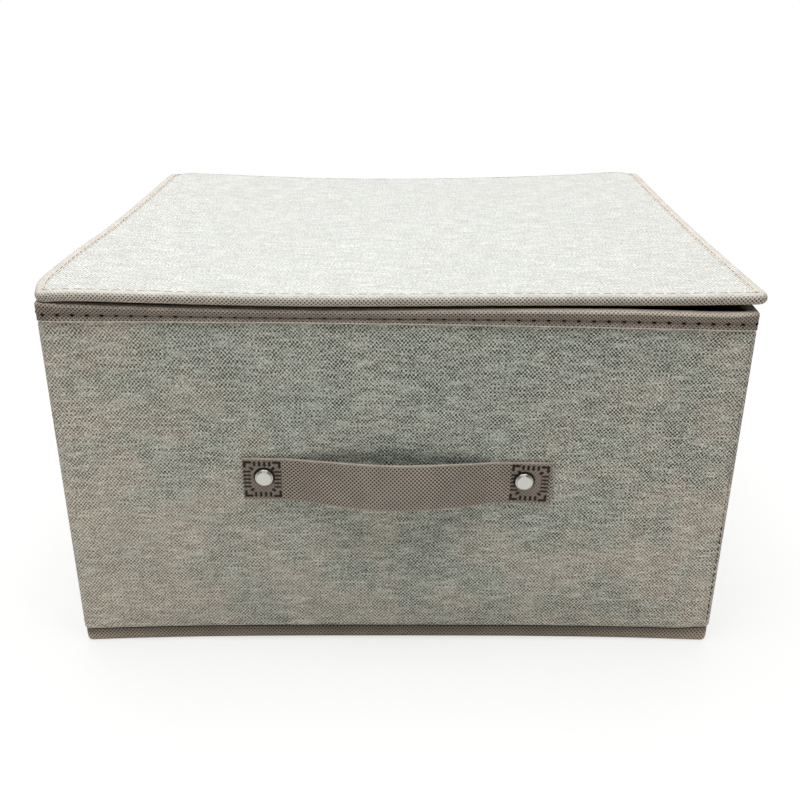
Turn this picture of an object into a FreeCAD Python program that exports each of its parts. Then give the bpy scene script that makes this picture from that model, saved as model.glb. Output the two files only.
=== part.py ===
import FreeCAD, Part
import math
import os
import Sketcher

# A collapsible storage box with an attached lid: cardboard panels between a linen-look cover and
# a lining, their edges bound with folded tape, and a webbing strap riveted to the front.
# Millimetres. X runs to the right, Y to the back and Z up. The origin is on the floor, midway
# between the side walls and midway between the front and back walls.

doc = FreeCAD.newDocument("StorageBox")
sheet = doc.addObject("Spreadsheet::Sheet", "sizes")


# A size keeps its formula over the sheet's cells and the formula's value side by side, so that a
# sketch can be drawn near its final place and then bound to the cells.
class Size:
    def __init__(self, text, number):
        self.text = text
        self.number = number

    def __add__(self, other):
        other = asSize(other)
        return Size("(" + self.text + " + " + other.text + ")", self.number + other.number)

    def __sub__(self, other):
        other = asSize(other)
        return Size("(" + self.text + " - " + other.text + ")", self.number - other.number)

    def __mul__(self, other):
        other = asSize(other)
        return Size("(" + self.text + " * " + other.text + ")", self.number * other.number)

    def __truediv__(self, other):
        other = asSize(other)
        return Size("(" + self.text + " / " + other.text + ")", self.number / other.number)

    def __neg__(self):
        return Size("(0 - " + self.text + ")", -self.number)


def asSize(value):
    return value if isinstance(value, Size) else Size(repr(float(value)), float(value))


sheetRow = 0


# One driving dimension: its word in column A, its number in column B, and the word as alias.
def dimension(word, number):
    global sheetRow
    sheetRow += 1
    sheet.set("A" + str(sheetRow), word)
    sheet.set("B" + str(sheetRow), str(number))
    sheet.setAlias("B" + str(sheetRow), word)
    return Size("sizes." + word, float(number))


# The body of the box, over its covers and up to the bound rim.
boxWidth = dimension("boxWidth", 350)
boxDepth = dimension("boxDepth", 300)
boxHeight = dimension("boxHeight", 200)
cornerRound = dimension("cornerRound", 4)
cornerReach = dimension("cornerReach", 2)

# The layers of a wall, from outside to inside, and the binding tape.
coverThick = dimension("coverThick", 0.8)
boardThick = dimension("boardThick", 2.4)
liningThick = dimension("liningThick", 0.6)
tapeThick = dimension("tapeThick", 0.8)
rimTapeHeight = dimension("rimTapeHeight", 10)
creaseGap = dimension("creaseGap", 1)

# The bound seam that the box stands on.
baseHeight = dimension("baseHeight", 7.2)
baseInset = dimension("baseInset", 0.5)
baseRound = dimension("baseRound", 5)
seamThick = dimension("seamThick", 1.2)
foldRound = dimension("foldRound", 0.9)
foldBevel = dimension("foldBevel", 0.6)

# The lid: its overall width, how far its edges lie in front of and behind the origin, and its tape.
lidWidth = dimension("lidWidth", 356)
lidFront = dimension("lidFront", 153)
lidRear = dimension("lidRear", 147)
lidRound = dimension("lidRound", 5)
lidRearRound = dimension("lidRearRound", 3)
lidGap = dimension("lidGap", 0.4)
lidTapeWidth = dimension("lidTapeWidth", 6)
lidEdgeRound = dimension("lidEdgeRound", 1.8)

# The cloth hinge between the lid's rear edge and the outside of the back wall.
hingeWidth = dimension("hingeWidth", 351)
hingeBend = dimension("hingeBend", 4)
hingeClear = dimension("hingeClear", 0.3)
hemLow = dimension("hemLow", 174)
hemHigh = dimension("hemHigh", 186)

# The strap: its ends, the stretch that bows away from the wall, and the two rivets that hold it.
strapWidth = dimension("strapWidth", 25)
strapThick = dimension("strapThick", 1.8)
strapLeft = dimension("strapLeft", 79.4)
strapRight = dimension("strapRight", 80.6)
bowLeft = dimension("bowLeft", 60)
bowRight = dimension("bowRight", 57)
strapBow = dimension("strapBow", 8)
footRound = dimension("footRound", 20)
strapEndRound = dimension("strapEndRound", 0.8)
rivetLeft = dimension("rivetLeft", 68.6)
rivetRight = dimension("rivetRight", 66.5)
rivetLevel = dimension("rivetLevel", 104)
capRadius = dimension("capRadius", 4.85)
capThick = dimension("capThick", 2.2)
capRound = dimension("capRound", 1)
postRadius = dimension("postRadius", 1.5)
holeRadius = dimension("holeRadius", 1.6)
backCapRadius = dimension("backCapRadius", 4.5)
backCapThick = dimension("backCapThick", 1.6)
socketDepth = dimension("socketDepth", 0.8)

# The loose stiffener on the bottom, a board in a cloth sleeve.
insertWidth = dimension("insertWidth", 338)
insertDepth = dimension("insertDepth", 287)
insertRound = dimension("insertRound", 2)
insertEdgeBevel = dimension("insertEdgeBevel", 0.5)
insertLift = dimension("insertLift", 0.3)
insertEndGap = dimension("insertEndGap", 1)

doc.recompute()

# Places worked out from the driving dimensions.
halfWidth = boxWidth / 2
halfDepth = boxDepth / 2
innerRound = cornerRound - coverThick
wallThick = coverThick + boardThick + liningThick
wallLow = baseHeight + coverThick
wallTop = boxHeight - tapeThick
flatWidth = halfWidth - cornerRound
flatDepth = halfDepth - cornerRound
seamDepth = flatDepth - cornerReach

nodes = []


def newBody(name):
    body = doc.addObject("PartDesign::Body", name)
    body.Label = name
    body.Placement = FreeCAD.Placement()
    nodes.append(body)
    return body


def originPlane(body, role):
    return next(plane for plane in body.Origin.OriginFeatures if plane.Role == role)


# A sketch on one of a body's own origin planes, moved along the plane's normal by a size.
def newSketch(body, name, role, offset=None):
    sketch = body.newObject("Sketcher::SketchObject", name)
    sketch.AttachmentSupport = [(originPlane(body, role), "")]
    sketch.MapMode = "FlatFace"
    if offset is not None:
        sketch.setExpression("AttachmentOffset.Base.z", offset.text)
    return sketch


def boundConstraint(sketch, kind, *places, size):
    index = sketch.addConstraint(Sketcher.Constraint(kind, *places, size.number))
    sketch.setExpression("Constraints[" + str(index) + "]", size.text)


# A closed outline of level and upright lines through the given corners. A corner with a third
# value is rounded with that radius. Each line is held at its distance from the sketch's origin.
def addLoop(sketch, corners):
    corners = [(asSize(c[0]), asSize(c[1]), asSize(c[2] if len(c) > 2 else 0)) for c in corners]
    count = len(corners)
    points = [FreeCAD.Vector(x.number, y.number, 0) for x, y, _ in corners]
    ways = [(points[(i + 1) % count] - points[i]).normalize() for i in range(count)]
    lines = []
    for i, (x, y, radius) in enumerate(corners):
        after = (i + 1) % count
        start = points[i] + ways[i] * radius.number
        end = points[after] - ways[i] * corners[after][2].number
        line = sketch.addGeometry(Part.LineSegment(start, end), False)
        lines.append(line)
        level = abs(ways[i].y) < 0.5
        sketch.addConstraint(Sketcher.Constraint("Horizontal" if level else "Vertical", line))
        place = y if level else x
        if place.number == 0:
            sketch.addConstraint(Sketcher.Constraint("PointOnObject", line, 1, -1 if level else -2))
        else:
            kind = "DistanceY" if level else "DistanceX"
            boundConstraint(sketch, kind, -1, 1, line, 1, size=place)
    for i, (x, y, radius) in enumerate(corners):
        before, after = lines[i - 1], lines[i]
        if radius.number == 0:
            sketch.addConstraint(Sketcher.Constraint("Coincident", before, 2, after, 1))
            continue
        start = points[i] - ways[i - 1] * radius.number
        end = points[i] + ways[i] * radius.number
        centre = start + ways[i] * radius.number
        leftTurn = ways[i - 1].cross(ways[i]).z > 0
        first, last = (start, end) if leftTurn else (end, start)
        circle = Part.Circle(centre, FreeCAD.Vector(0, 0, 1), radius.number)
        angles = [math.atan2(p.y - centre.y, p.x - centre.x) for p in (first, last)]
        arc = sketch.addGeometry(Part.ArcOfCircle(circle, *angles), False)
        entry, exit = (1, 2) if leftTurn else (2, 1)
        sketch.addConstraint(Sketcher.Constraint("Tangent", before, 2, arc, entry))
        sketch.addConstraint(Sketcher.Constraint("Tangent", arc, exit, after, 1))
        boundConstraint(sketch, "Radius", arc, size=radius)


# The four corners of a rectangle about the origin, all rounded alike.
def rectangle(halfX, halfY, radius=0):
    return [
        (-halfX, -halfY, radius),
        (halfX, -halfY, radius),
        (halfX, halfY, radius),
        (-halfX, halfY, radius),
    ]


def pad(body, sketch, length):
    feature = body.newObject("PartDesign::Pad", sketch.Name + "Pad")
    feature.Profile = sketch
    feature.setExpression("Length", length.text)
    doc.recompute()
    body.Tip = feature
    return feature


# A cut from the sketch against its normal. A cut that takes nothing away is an error.
def pocket(body, sketch, length=None):
    before = body.Shape.Volume
    feature = body.newObject("PartDesign::Pocket", sketch.Name + "Pocket")
    feature.Profile = sketch
    if length is None:
        feature.Type = "ThroughAll"
        feature.Midplane = True
    else:
        feature.setExpression("Length", length.text)
    doc.recompute()
    body.Tip = feature
    if feature.Shape.Volume >= before - 0.01:
        raise RuntimeError(body.Label + ": the cut takes nothing away")
    return feature


# Rounds the edges of a feature for which the test, given the edge, is true.
def roundEdges(body, feature, radius, test):
    edges = feature.Shape.Edges
    names = ["Edge" + str(i + 1) for i, edge in enumerate(edges) if test(edge)]
    rounding = body.newObject("PartDesign::Fillet", feature.Name + "Round")
    rounding.Base = (feature, names)
    rounding.setExpression("Radius", radius.text)
    doc.recompute()
    body.Tip = rounding
    return rounding


# Bevels the edges of a feature for which the test is true.
def bevelEdges(body, feature, size, test):
    edges = feature.Shape.Edges
    names = ["Edge" + str(i + 1) for i, edge in enumerate(edges) if test(edge)]
    bevel = body.newObject("PartDesign::Chamfer", feature.Name + "Bevel")
    bevel.Base = (feature, names)
    bevel.setExpression("Size", size.text)
    doc.recompute()
    body.Tip = bevel
    return bevel


# A test for edges that lie wholly at one level.
def edgesAt(level):
    def test(edge):
        box = edge.BoundBox
        return abs(box.ZMin - level.number) < 0.001 and abs(box.ZMax - level.number) < 0.001
    return test


# A flat piece of even thickness: an outline in plan, raised from one level to another.
def plate(name, outline, low, high):
    body = newBody(name)
    sketch = newSketch(body, name + "Outline", "XY_Plane", low)
    addLoop(sketch, outline)
    pad(body, sketch, high - low)
    return body


# The two holes for the rivet posts, through whatever stands at the front.
def rivetHoles(body):
    sketch = newSketch(body, body.Name + "Holes", "XZ_Plane")
    for across in (-rivetLeft, rivetRight):
        centre = FreeCAD.Vector(across.number, rivetLevel.number, 0)
        circle = Part.Circle(centre, FreeCAD.Vector(0, 0, 1), holeRadius.number)
        hole = sketch.addGeometry(circle, False)
        boundConstraint(sketch, "DistanceX", -1, 1, hole, 3, size=across)
        boundConstraint(sketch, "DistanceY", -1, 1, hole, 3, size=rivetLevel)
        boundConstraint(sketch, "Radius", hole, size=holeRadius)
    pocket(body, sketch)


# The outline in plan of a front or back cover, which turns round both corners of the box to the
# seams on the side walls. The side is -1 for the front and 1 for the back.
def turnedCover(side):
    face = halfDepth * side
    inside = (halfDepth - coverThick) * side
    end = seamDepth * side
    inX = halfWidth - coverThick
    return [
        (-halfWidth, end),
        (-halfWidth, face, cornerRound),
        (halfWidth, face, cornerRound),
        (halfWidth, end),
        (inX, end),
        (inX, inside, innerRound),
        (-inX, inside, innerRound),
        (-inX, end),
    ]


# A rectangle given by its four sides.
def sides(left, right, front, back):
    return [(left, front), (right, front), (right, back), (left, back)]


# The walls' covers.
frontCover = plate("front_cover", turnedCover(-1), baseHeight, wallTop)
rivetHoles(frontCover)
plate("back_cover", turnedCover(1), baseHeight, wallTop)
plate(
    "left_cover",
    sides(-halfWidth, coverThick - halfWidth, -seamDepth, seamDepth),
    baseHeight,
    wallTop,
)
plate(
    "right_cover",
    sides(halfWidth - coverThick, halfWidth, -seamDepth, seamDepth),
    baseHeight,
    wallTop,
)

# The cloth under the box, which reaches the inside of the covers.
plate(
    "bottom_cover",
    rectangle(halfWidth - coverThick, halfDepth - coverThick, innerRound),
    baseHeight,
    wallLow,
)

# The boards. Those of the side walls are in two halves, so that the walls can fold inward.
boardOut = coverThick
boardIn = coverThick + boardThick
frontBoard = plate(
    "front_board",
    sides(-flatWidth, flatWidth, boardOut - halfDepth, boardIn - halfDepth),
    wallLow,
    wallTop,
)
rivetHoles(frontBoard)
plate(
    "back_board",
    sides(-flatWidth, flatWidth, halfDepth - boardIn, halfDepth - boardOut),
    wallLow,
    wallTop,
)
sideBoards = {
    "left": (boardOut - halfWidth, boardIn - halfWidth),
    "right": (halfWidth - boardIn, halfWidth - boardOut),
}
halfCrease = creaseGap / 2
halves = {"front": (-flatDepth, -halfCrease), "rear": (halfCrease, flatDepth)}
for side, (left, right) in sideBoards.items():
    for half, (front, back) in halves.items():
        plate(side + "_" + half + "_board", sides(left, right, front, back), wallLow, wallTop)

# The linings. The front and back ones run from side board to side board, and the side ones lie
# between them.
innerWidth = halfWidth - wallThick
innerDepth = halfDepth - wallThick
liningWidth = halfWidth - boardIn
frontLining = plate(
    "front_lining",
    sides(-liningWidth, liningWidth, boardIn - halfDepth, -innerDepth),
    wallLow,
    wallTop,
)
rivetHoles(frontLining)
plate(
    "back_lining",
    sides(-liningWidth, liningWidth, innerDepth, halfDepth - boardIn),
    wallLow,
    wallTop,
)
plate("left_lining", sides(-liningWidth, -innerWidth, -innerDepth, innerDepth), wallLow, wallTop)
plate("right_lining", sides(innerWidth, liningWidth, -innerDepth, innerDepth), wallLow, wallTop)

# The rim binding: tape folded over the top of all four walls, open below for their layers.
rim = newBody("rim_binding")
rimSketch = newSketch(rim, "rimOutline", "XY_Plane", boxHeight - rimTapeHeight)
addLoop(
    rimSketch,
    rectangle(halfWidth + tapeThick, halfDepth + tapeThick, cornerRound + tapeThick),
)
rimInnerRound = tapeThick
addLoop(rimSketch, rectangle(innerWidth - tapeThick, innerDepth - tapeThick, rimInnerRound))
pad(rim, rimSketch, rimTapeHeight)
rimSlot = newSketch(rim, "rimSlot", "XY_Plane", wallTop)
addLoop(rimSlot, rectangle(halfWidth, halfDepth, cornerRound))
addLoop(rimSlot, rectangle(innerWidth, innerDepth, rimInnerRound + tapeThick))
rimCut = pocket(rim, rimSlot, rimTapeHeight - tapeThick)
roundEdges(rim, rimCut, foldRound, edgesAt(boxHeight))

# The base binding: tape folded round the seam allowance that turns down under the walls. The box
# stands on its flat lower face.
bindingThick = seamThick + tapeThick * 2
baseX = halfWidth - baseInset
baseY = halfDepth - baseInset
base = newBody("base_binding")
baseSketch = newSketch(base, "baseOutline", "XY_Plane")
addLoop(baseSketch, rectangle(baseX, baseY, baseRound))
addLoop(
    baseSketch,
    rectangle(baseX - bindingThick, baseY - bindingThick, baseRound - bindingThick),
)
pad(base, baseSketch, baseHeight)
baseSlot = newSketch(base, "baseSlot", "XY_Plane", baseHeight)
slotIn = tapeThick + seamThick
outerSlot = rectangle(baseX - tapeThick, baseY - tapeThick, baseRound - tapeThick)
innerSlot = rectangle(baseX - slotIn, baseY - slotIn, baseRound - slotIn)
addLoop(baseSlot, outerSlot)
addLoop(baseSlot, innerSlot)
baseCut = pocket(base, baseSlot, baseHeight - tapeThick)
bevelEdges(base, baseCut, foldBevel, edgesAt(asSize(0)))

# The seam allowance inside it: the turned-down edges of the walls' covers and the bottom cloth.
seam = newBody("base_seam_allowance")
seamSketch = newSketch(seam, "seamOutline", "XY_Plane", tapeThick)
addLoop(seamSketch, outerSlot)
addLoop(seamSketch, innerSlot)
pad(seam, seamSketch, baseHeight - tapeThick)

# The strap: flat on the wall under both rivets and bowed away from it between them. Its middle
# line is two straight ends, two feet that curve outward and one long arc that curves back.
strapMiddle = strapThick / 2
spanHalf = (bowLeft + bowRight) / 2
spanCentre = (bowRight - bowLeft) / 2
turn = 2 * math.atan(strapBow.number / spanHalf.number)
bowRadius = spanHalf.number / math.sin(turn) - footRound.number
wallLine = -(halfDepth + strapMiddle)

strap = newBody("handle_strap")
strapPath = newSketch(strap, "strapPath", "XY_Plane", rivetLevel)
lineY = wallLine.number
apexY = lineY - strapBow.number
leftFoot = FreeCAD.Vector(-bowLeft.number, lineY - footRound.number, 0)
rightFoot = FreeCAD.Vector(bowRight.number, lineY - footRound.number, 0)
bowCentre = FreeCAD.Vector(spanCentre.number, apexY + bowRadius, 0)
upright = FreeCAD.Vector(0, 0, 1)
quarter = math.pi / 2
leftEnd = FreeCAD.Vector(-strapLeft.number, lineY, 0)
leftBend = FreeCAD.Vector(-bowLeft.number, lineY, 0)
rightBend = FreeCAD.Vector(bowRight.number, lineY, 0)
rightEnd = FreeCAD.Vector(strapRight.number, lineY, 0)
leftLine = strapPath.addGeometry(Part.LineSegment(leftEnd, leftBend), False)
leftArc = strapPath.addGeometry(
    Part.ArcOfCircle(Part.Circle(leftFoot, upright, footRound.number), quarter - turn, quarter),
    False,
)
bowArc = strapPath.addGeometry(
    Part.ArcOfCircle(Part.Circle(bowCentre, upright, bowRadius), -quarter - turn, turn - quarter),
    False,
)
rightArc = strapPath.addGeometry(
    Part.ArcOfCircle(Part.Circle(rightFoot, upright, footRound.number), quarter, quarter + turn),
    False,
)
rightLine = strapPath.addGeometry(Part.LineSegment(rightBend, rightEnd), False)
for joined in (
    (leftLine, 2, leftArc, 2),
    (leftArc, 1, bowArc, 1),
    (bowArc, 2, rightArc, 2),
    (rightArc, 1, rightLine, 1),
):
    strapPath.addConstraint(Sketcher.Constraint("Tangent", *joined))
strapPath.addConstraint(Sketcher.Constraint("Horizontal", leftLine))
strapPath.addConstraint(Sketcher.Constraint("Horizontal", rightLine))
boundConstraint(strapPath, "DistanceX", -1, 1, leftLine, 1, size=-strapLeft)
boundConstraint(strapPath, "DistanceX", -1, 1, leftLine, 2, size=-bowLeft)
boundConstraint(strapPath, "DistanceX", -1, 1, rightLine, 1, size=bowRight)
boundConstraint(strapPath, "DistanceX", -1, 1, rightLine, 2, size=strapRight)
boundConstraint(strapPath, "DistanceY", -1, 1, leftLine, 1, size=wallLine)
boundConstraint(strapPath, "DistanceY", -1, 1, rightLine, 1, size=wallLine)
boundConstraint(strapPath, "Radius", leftArc, size=footRound)
boundConstraint(strapPath, "Radius", rightArc, size=footRound)
bowRoot = "(" + (spanHalf * spanHalf).text + " + " + (strapBow * strapBow).text + ")"
bowText = bowRoot + " / (2 * sizes.strapBow) - sizes.footRound"
boundConstraint(strapPath, "Radius", bowArc, size=Size(bowText, bowRadius))

strapSection = newSketch(strap, "strapSection", "YZ_Plane", -strapLeft)
halfStrap = strapWidth / 2
addLoop(
    strapSection,
    sides(
        -(halfDepth + strapThick),
        -halfDepth,
        rivetLevel - halfStrap,
        rivetLevel + halfStrap,
    ),
)
strapPipe = strap.newObject("PartDesign::AdditivePipe", "strapPipe")
strapPipe.Profile = strapSection
strapPipe.Spine = (strapPath, [])
doc.recompute()
strap.Tip = strapPipe


# The four short edges at the strap's ends, which the heated knife leaves slightly rounded.
def strapCorners(edge):
    box = edge.BoundBox
    across = abs(box.XMax - box.XMin) < 0.001 and abs(box.ZMax - box.ZMin) < 0.001
    atEnd = box.XMin < -strapLeft.number + 0.01 or box.XMax > strapRight.number - 0.01
    return across and atEnd


roundEdges(strap, strapPipe, strapEndRound, strapCorners)
rivetHoles(strap)


# Both rivets' caps, from half a section revolved about the left rivet's axis and repeated at the
# right one. In the section, the first number is the distance from the axis and the second is Y.
def rivetPair(name, section):
    body = newBody(name)
    body.AllowCompound = True
    sketch = newSketch(body, name + "Section", "XY_Plane", rivetLevel)
    sketch.setExpression("AttachmentOffset.Base.x", (-rivetLeft).text)
    addLoop(sketch, section)
    turned = body.newObject("PartDesign::Revolution", name + "Turned")
    turned.Profile = sketch
    turned.ReferenceAxis = (sketch, ["V_Axis"])
    turned.Angle = 360
    doc.recompute()
    body.Tip = turned
    repeated = body.newObject("PartDesign::LinearPattern", name + "Pair")
    repeated.Originals = [turned]
    repeated.Direction = (sketch, ["H_Axis"])
    repeated.setExpression("Length", (rivetLeft + rivetRight).text)
    repeated.Occurrences = 2
    doc.recompute()
    body.Tip = repeated
    return body


strapFace = -(halfDepth + strapThick)
postEnd = socketDepth - innerDepth
rivetPair(
    "rivet_front_caps",
    [
        (0, strapFace - capThick),
        (capRadius, strapFace - capThick, capRound),
        (capRadius, strapFace),
        (postRadius, strapFace),
        (postRadius, postEnd),
        (0, postEnd),
    ],
)
rivetPair(
    "rivet_back_caps",
    [
        (0, postEnd),
        (postRadius, postEnd),
        (postRadius, -innerDepth),
        (backCapRadius, -innerDepth),
        (backCapRadius, backCapThick - innerDepth),
        (0, backCapThick - innerDepth),
    ],
)

# The levels of the lid's layers, from below: tape, lining, board, cover, tape.
lidLow = boxHeight + lidGap
liningLow = lidLow + tapeThick
lidBoardLow = liningLow + liningThick
lidCoverLow = lidBoardLow + boardThick
lidCoverHigh = lidCoverLow + coverThick
lidHigh = lidCoverHigh + tapeThick

layerX = lidWidth / 2 - tapeThick
layerFront = tapeThick - lidFront
layerRound = lidRound - tapeThick
lidOutline = [
    (-layerX, layerFront, layerRound),
    (layerX, layerFront, layerRound),
    (layerX, lidRear, lidRearRound),
    (-layerX, lidRear, lidRearRound),
]
plate("lid_cover", lidOutline, lidCoverLow, lidCoverHigh)
plate("lid_board", lidOutline, lidBoardLow, lidCoverLow)
plate("lid_lining", lidOutline, liningLow, lidBoardLow)

# The lid's binding: tape folded over the front, left and right edges and rolled round them.
lidX = lidWidth / 2
tapeX = lidX - lidTapeWidth
tapeFront = lidTapeWidth - lidFront
tapeRear = lidRear - lidRearRound
lidTape = newBody("lid_binding")
lidTapeSketch = newSketch(lidTape, "lidTapeOutline", "XY_Plane", lidLow)
addLoop(
    lidTapeSketch,
    [
        (-lidX, tapeRear),
        (-lidX, -lidFront, lidRound),
        (lidX, -lidFront, lidRound),
        (lidX, tapeRear),
        (tapeX, tapeRear),
        (tapeX, tapeFront, tapeThick),
        (-tapeX, tapeFront, tapeThick),
        (-tapeX, tapeRear),
    ],
)
lidTapePad = pad(lidTape, lidTapeSketch, lidHigh - lidLow)


# The outer upper and lower edges of the lid's tape, along the front, the sides and the corners.
def lidRoll(edge):
    box = edge.BoundBox
    level = box.ZMax - box.ZMin < 0.001
    outer = box.YMax < -lidFront.number + lidRound.number + 0.01
    outer = outer or box.XMin > lidX.number - 0.01 or box.XMax < -lidX.number + 0.01
    return level and outer


lidTapeRolled = roundEdges(lidTape, lidTapePad, lidEdgeRound, lidRoll)
lidSlot = newSketch(lidTape, "lidSlot", "XY_Plane", lidCoverHigh)
addLoop(
    lidSlot,
    [
        (-layerX, layerFront, layerRound),
        (layerX, layerFront, layerRound),
        (layerX, lidRear + lidRound),
        (-layerX, lidRear + lidRound),
    ],
)
pocket(lidTape, lidSlot, lidCoverHigh - liningLow)

# The cloth hinge, in section across the box: a doubled hem sewn to the back wall, a single layer
# up behind the rim, and a bend over the lid's rear edge.
hinge = newBody("hinge_cloth")
hingeSketch = newSketch(hinge, "hingeSection", "YZ_Plane", -(hingeWidth / 2))
hingeOut = halfDepth + tapeThick + coverThick
hingeIn = halfDepth + tapeThick
hingeFront = lidRear + hingeClear
addLoop(
    hingeSketch,
    [
        (halfDepth, hemLow),
        (hingeOut, hemLow),
        (hingeOut, lidCoverHigh, hingeBend),
        (hingeFront, lidCoverHigh),
        (hingeFront, lidCoverLow),
        (hingeIn, lidCoverLow, hingeBend - coverThick),
        (hingeIn, hemHigh),
        (halfDepth, hemHigh),
    ],
)
pad(hinge, hingeSketch, hingeWidth)

# The loose stiffener: a cloth sleeve, open at its right end, with a board in it.
sleeveLow = wallLow + insertLift
insertBoardLow = sleeveLow + liningThick
insertBoardHigh = insertBoardLow + boardThick
sleeveHigh = insertBoardHigh + liningThick
insertX = insertWidth / 2
insertY = insertDepth / 2
sleeve = newBody("base_insert_cover")
sleeveSketch = newSketch(sleeve, "sleeveOutline", "XY_Plane", sleeveLow)
addLoop(sleeveSketch, rectangle(insertX, insertY, insertRound))
sleevePad = pad(sleeve, sleeveSketch, sleeveHigh - sleeveLow)
bevelEdges(
    sleeve,
    sleevePad,
    insertEdgeBevel,
    lambda edge: edge.BoundBox.ZMax - edge.BoundBox.ZMin < 0.001,
)
sleeveMouth = newSketch(sleeve, "sleeveMouth", "YZ_Plane", insertX)
pocketY = insertY - liningThick
addLoop(sleeveMouth, sides(-pocketY, pocketY, insertBoardLow, insertBoardHigh))
pocket(sleeve, sleeveMouth, insertWidth - liningThick)
plate(
    "base_insert_board",
    sides(liningThick - insertX, insertX - insertEndGap, -pocketY, pocketY),
    insertBoardLow,
    insertBoardHigh,
)

# Every feature is sound and every sub-part is a valid solid before a file is written.
doc.recompute()
for item in doc.Objects:
    if "Invalid" in item.State or "Error" in item.State:
        raise RuntimeError(item.Name + " failed: " + str(item.State))
for item in nodes:
    if item.Shape.isNull() or not item.Shape.isValid() or not item.Shape.Solids:
        raise RuntimeError(item.Label + " has no valid solid")

os.makedirs("parts", exist_ok=True)
for item in nodes:
    item.Shape.exportStep("parts/" + item.Label + ".step")
    box = item.Shape.BoundBox
    print(
        item.Label,
        len(item.Shape.Solids),
        "solids",
        round(item.Shape.Volume, 1),
        "mm3",
        [round(v, 2) for v in (box.XMin, box.XMax, box.YMin, box.YMax, box.ZMin, box.ZMax)],
    )
print(len(nodes), "nodes")
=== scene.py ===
import math
from functools import partial

import bmesh
import bpy
import numpy as np
from mathutils import Matrix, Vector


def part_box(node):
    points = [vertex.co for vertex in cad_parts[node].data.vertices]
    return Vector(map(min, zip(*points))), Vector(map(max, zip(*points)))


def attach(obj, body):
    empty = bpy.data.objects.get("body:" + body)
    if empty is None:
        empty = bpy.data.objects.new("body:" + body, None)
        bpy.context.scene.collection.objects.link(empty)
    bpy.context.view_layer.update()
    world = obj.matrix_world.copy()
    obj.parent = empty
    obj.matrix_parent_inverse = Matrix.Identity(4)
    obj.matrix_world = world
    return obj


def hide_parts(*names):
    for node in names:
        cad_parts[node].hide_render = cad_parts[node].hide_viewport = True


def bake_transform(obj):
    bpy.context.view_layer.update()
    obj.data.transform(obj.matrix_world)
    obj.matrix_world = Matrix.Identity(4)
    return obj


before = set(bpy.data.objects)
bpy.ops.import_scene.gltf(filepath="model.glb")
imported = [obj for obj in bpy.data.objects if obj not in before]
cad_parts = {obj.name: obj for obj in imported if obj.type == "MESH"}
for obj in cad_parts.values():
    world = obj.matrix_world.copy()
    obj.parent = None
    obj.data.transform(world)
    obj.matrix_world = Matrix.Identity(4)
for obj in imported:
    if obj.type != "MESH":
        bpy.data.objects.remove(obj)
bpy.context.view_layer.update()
metres = 0.001  # every shape below is worked out in millimetres and scaled once, in gridMesh

# the walls' outer faces, and from innerX and innerY on a point belongs to a wall
box = {"halfWidth": 175.0, "halfDepth": 150.0, "height": 200.0, "seamTop": 7.2, "innerX": 173.0, "innerY": 148.0}

# All in mm. From and UpTo are pairs: a place, and over how much it grows from there, negative where it fades.
wallSettling = {
    "bowIn": 2.3,  # the front's lower edge curves in by this halfway along
    "bowPower": 3.0,
    "seamRise": 1.2,  # the base seam lifts by this halfway along the front
    "clothRise": 1.2,  # the front cloth stops this much higher than the flat pattern
    "clothArch": 1.2,  # and higher again halfway along
    "rightCornerRise": 1.8,
    "rightCornerFrom": (152.0, 24.0),
    "rimLeft": 0.5,
    "rimRight": -3.3,  # the rim's front right corner hangs
    "rimMiddle": -2.2,
    "tapeLow": (0.4, 3.1, -0.7),  # the rim tape's lower edge is sewn this much higher: left, middle, right
    "tapeLowFrom": (150.0, 40.0),
    "tapeLowUpTo": (197.5, -6.5),
    "rimSwell": (1.3, 60.0, 80.0),  # the rim's top edge stands higher right of the middle: rise, place, reach
    "rimDrop": 1.2,  # and lower at its right end
    "rimDropFrom": (105.0, 60.0),
    "rimFrom": (190.0, 10.0),
    "squeeze": (0.6, 0.3),  # the stitched tape pulls the layers of the rim together, at the sides and the rest
    "squeezeFrom": (187.5, 3.5),
    "backRimDip": 2.0,
    "backFrom": (60.0, 85.0),
    "sideBow": 1.2,
    "backBow": 1.5,
    "footLeft": (-0.7, -1.0),  # the front corners stand this much to the right and to the back
    "footRight": (0.0, 0.4),
    "rightShift": 1.1,
    "rightShiftFrom": (40.0, 130.0),
    "wave": 0.28,  # soft ripples, none near a wall's edges
    "waveFrom": (14.0, 26.0),
    "waveUpTo": (186.0, -26.0),
    "waveUpToX": (168.0, -30.0),
    "waveUpToY": (142.0, -30.0),
    "crease": 0.5,  # groove where a side wall folds
}

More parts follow.
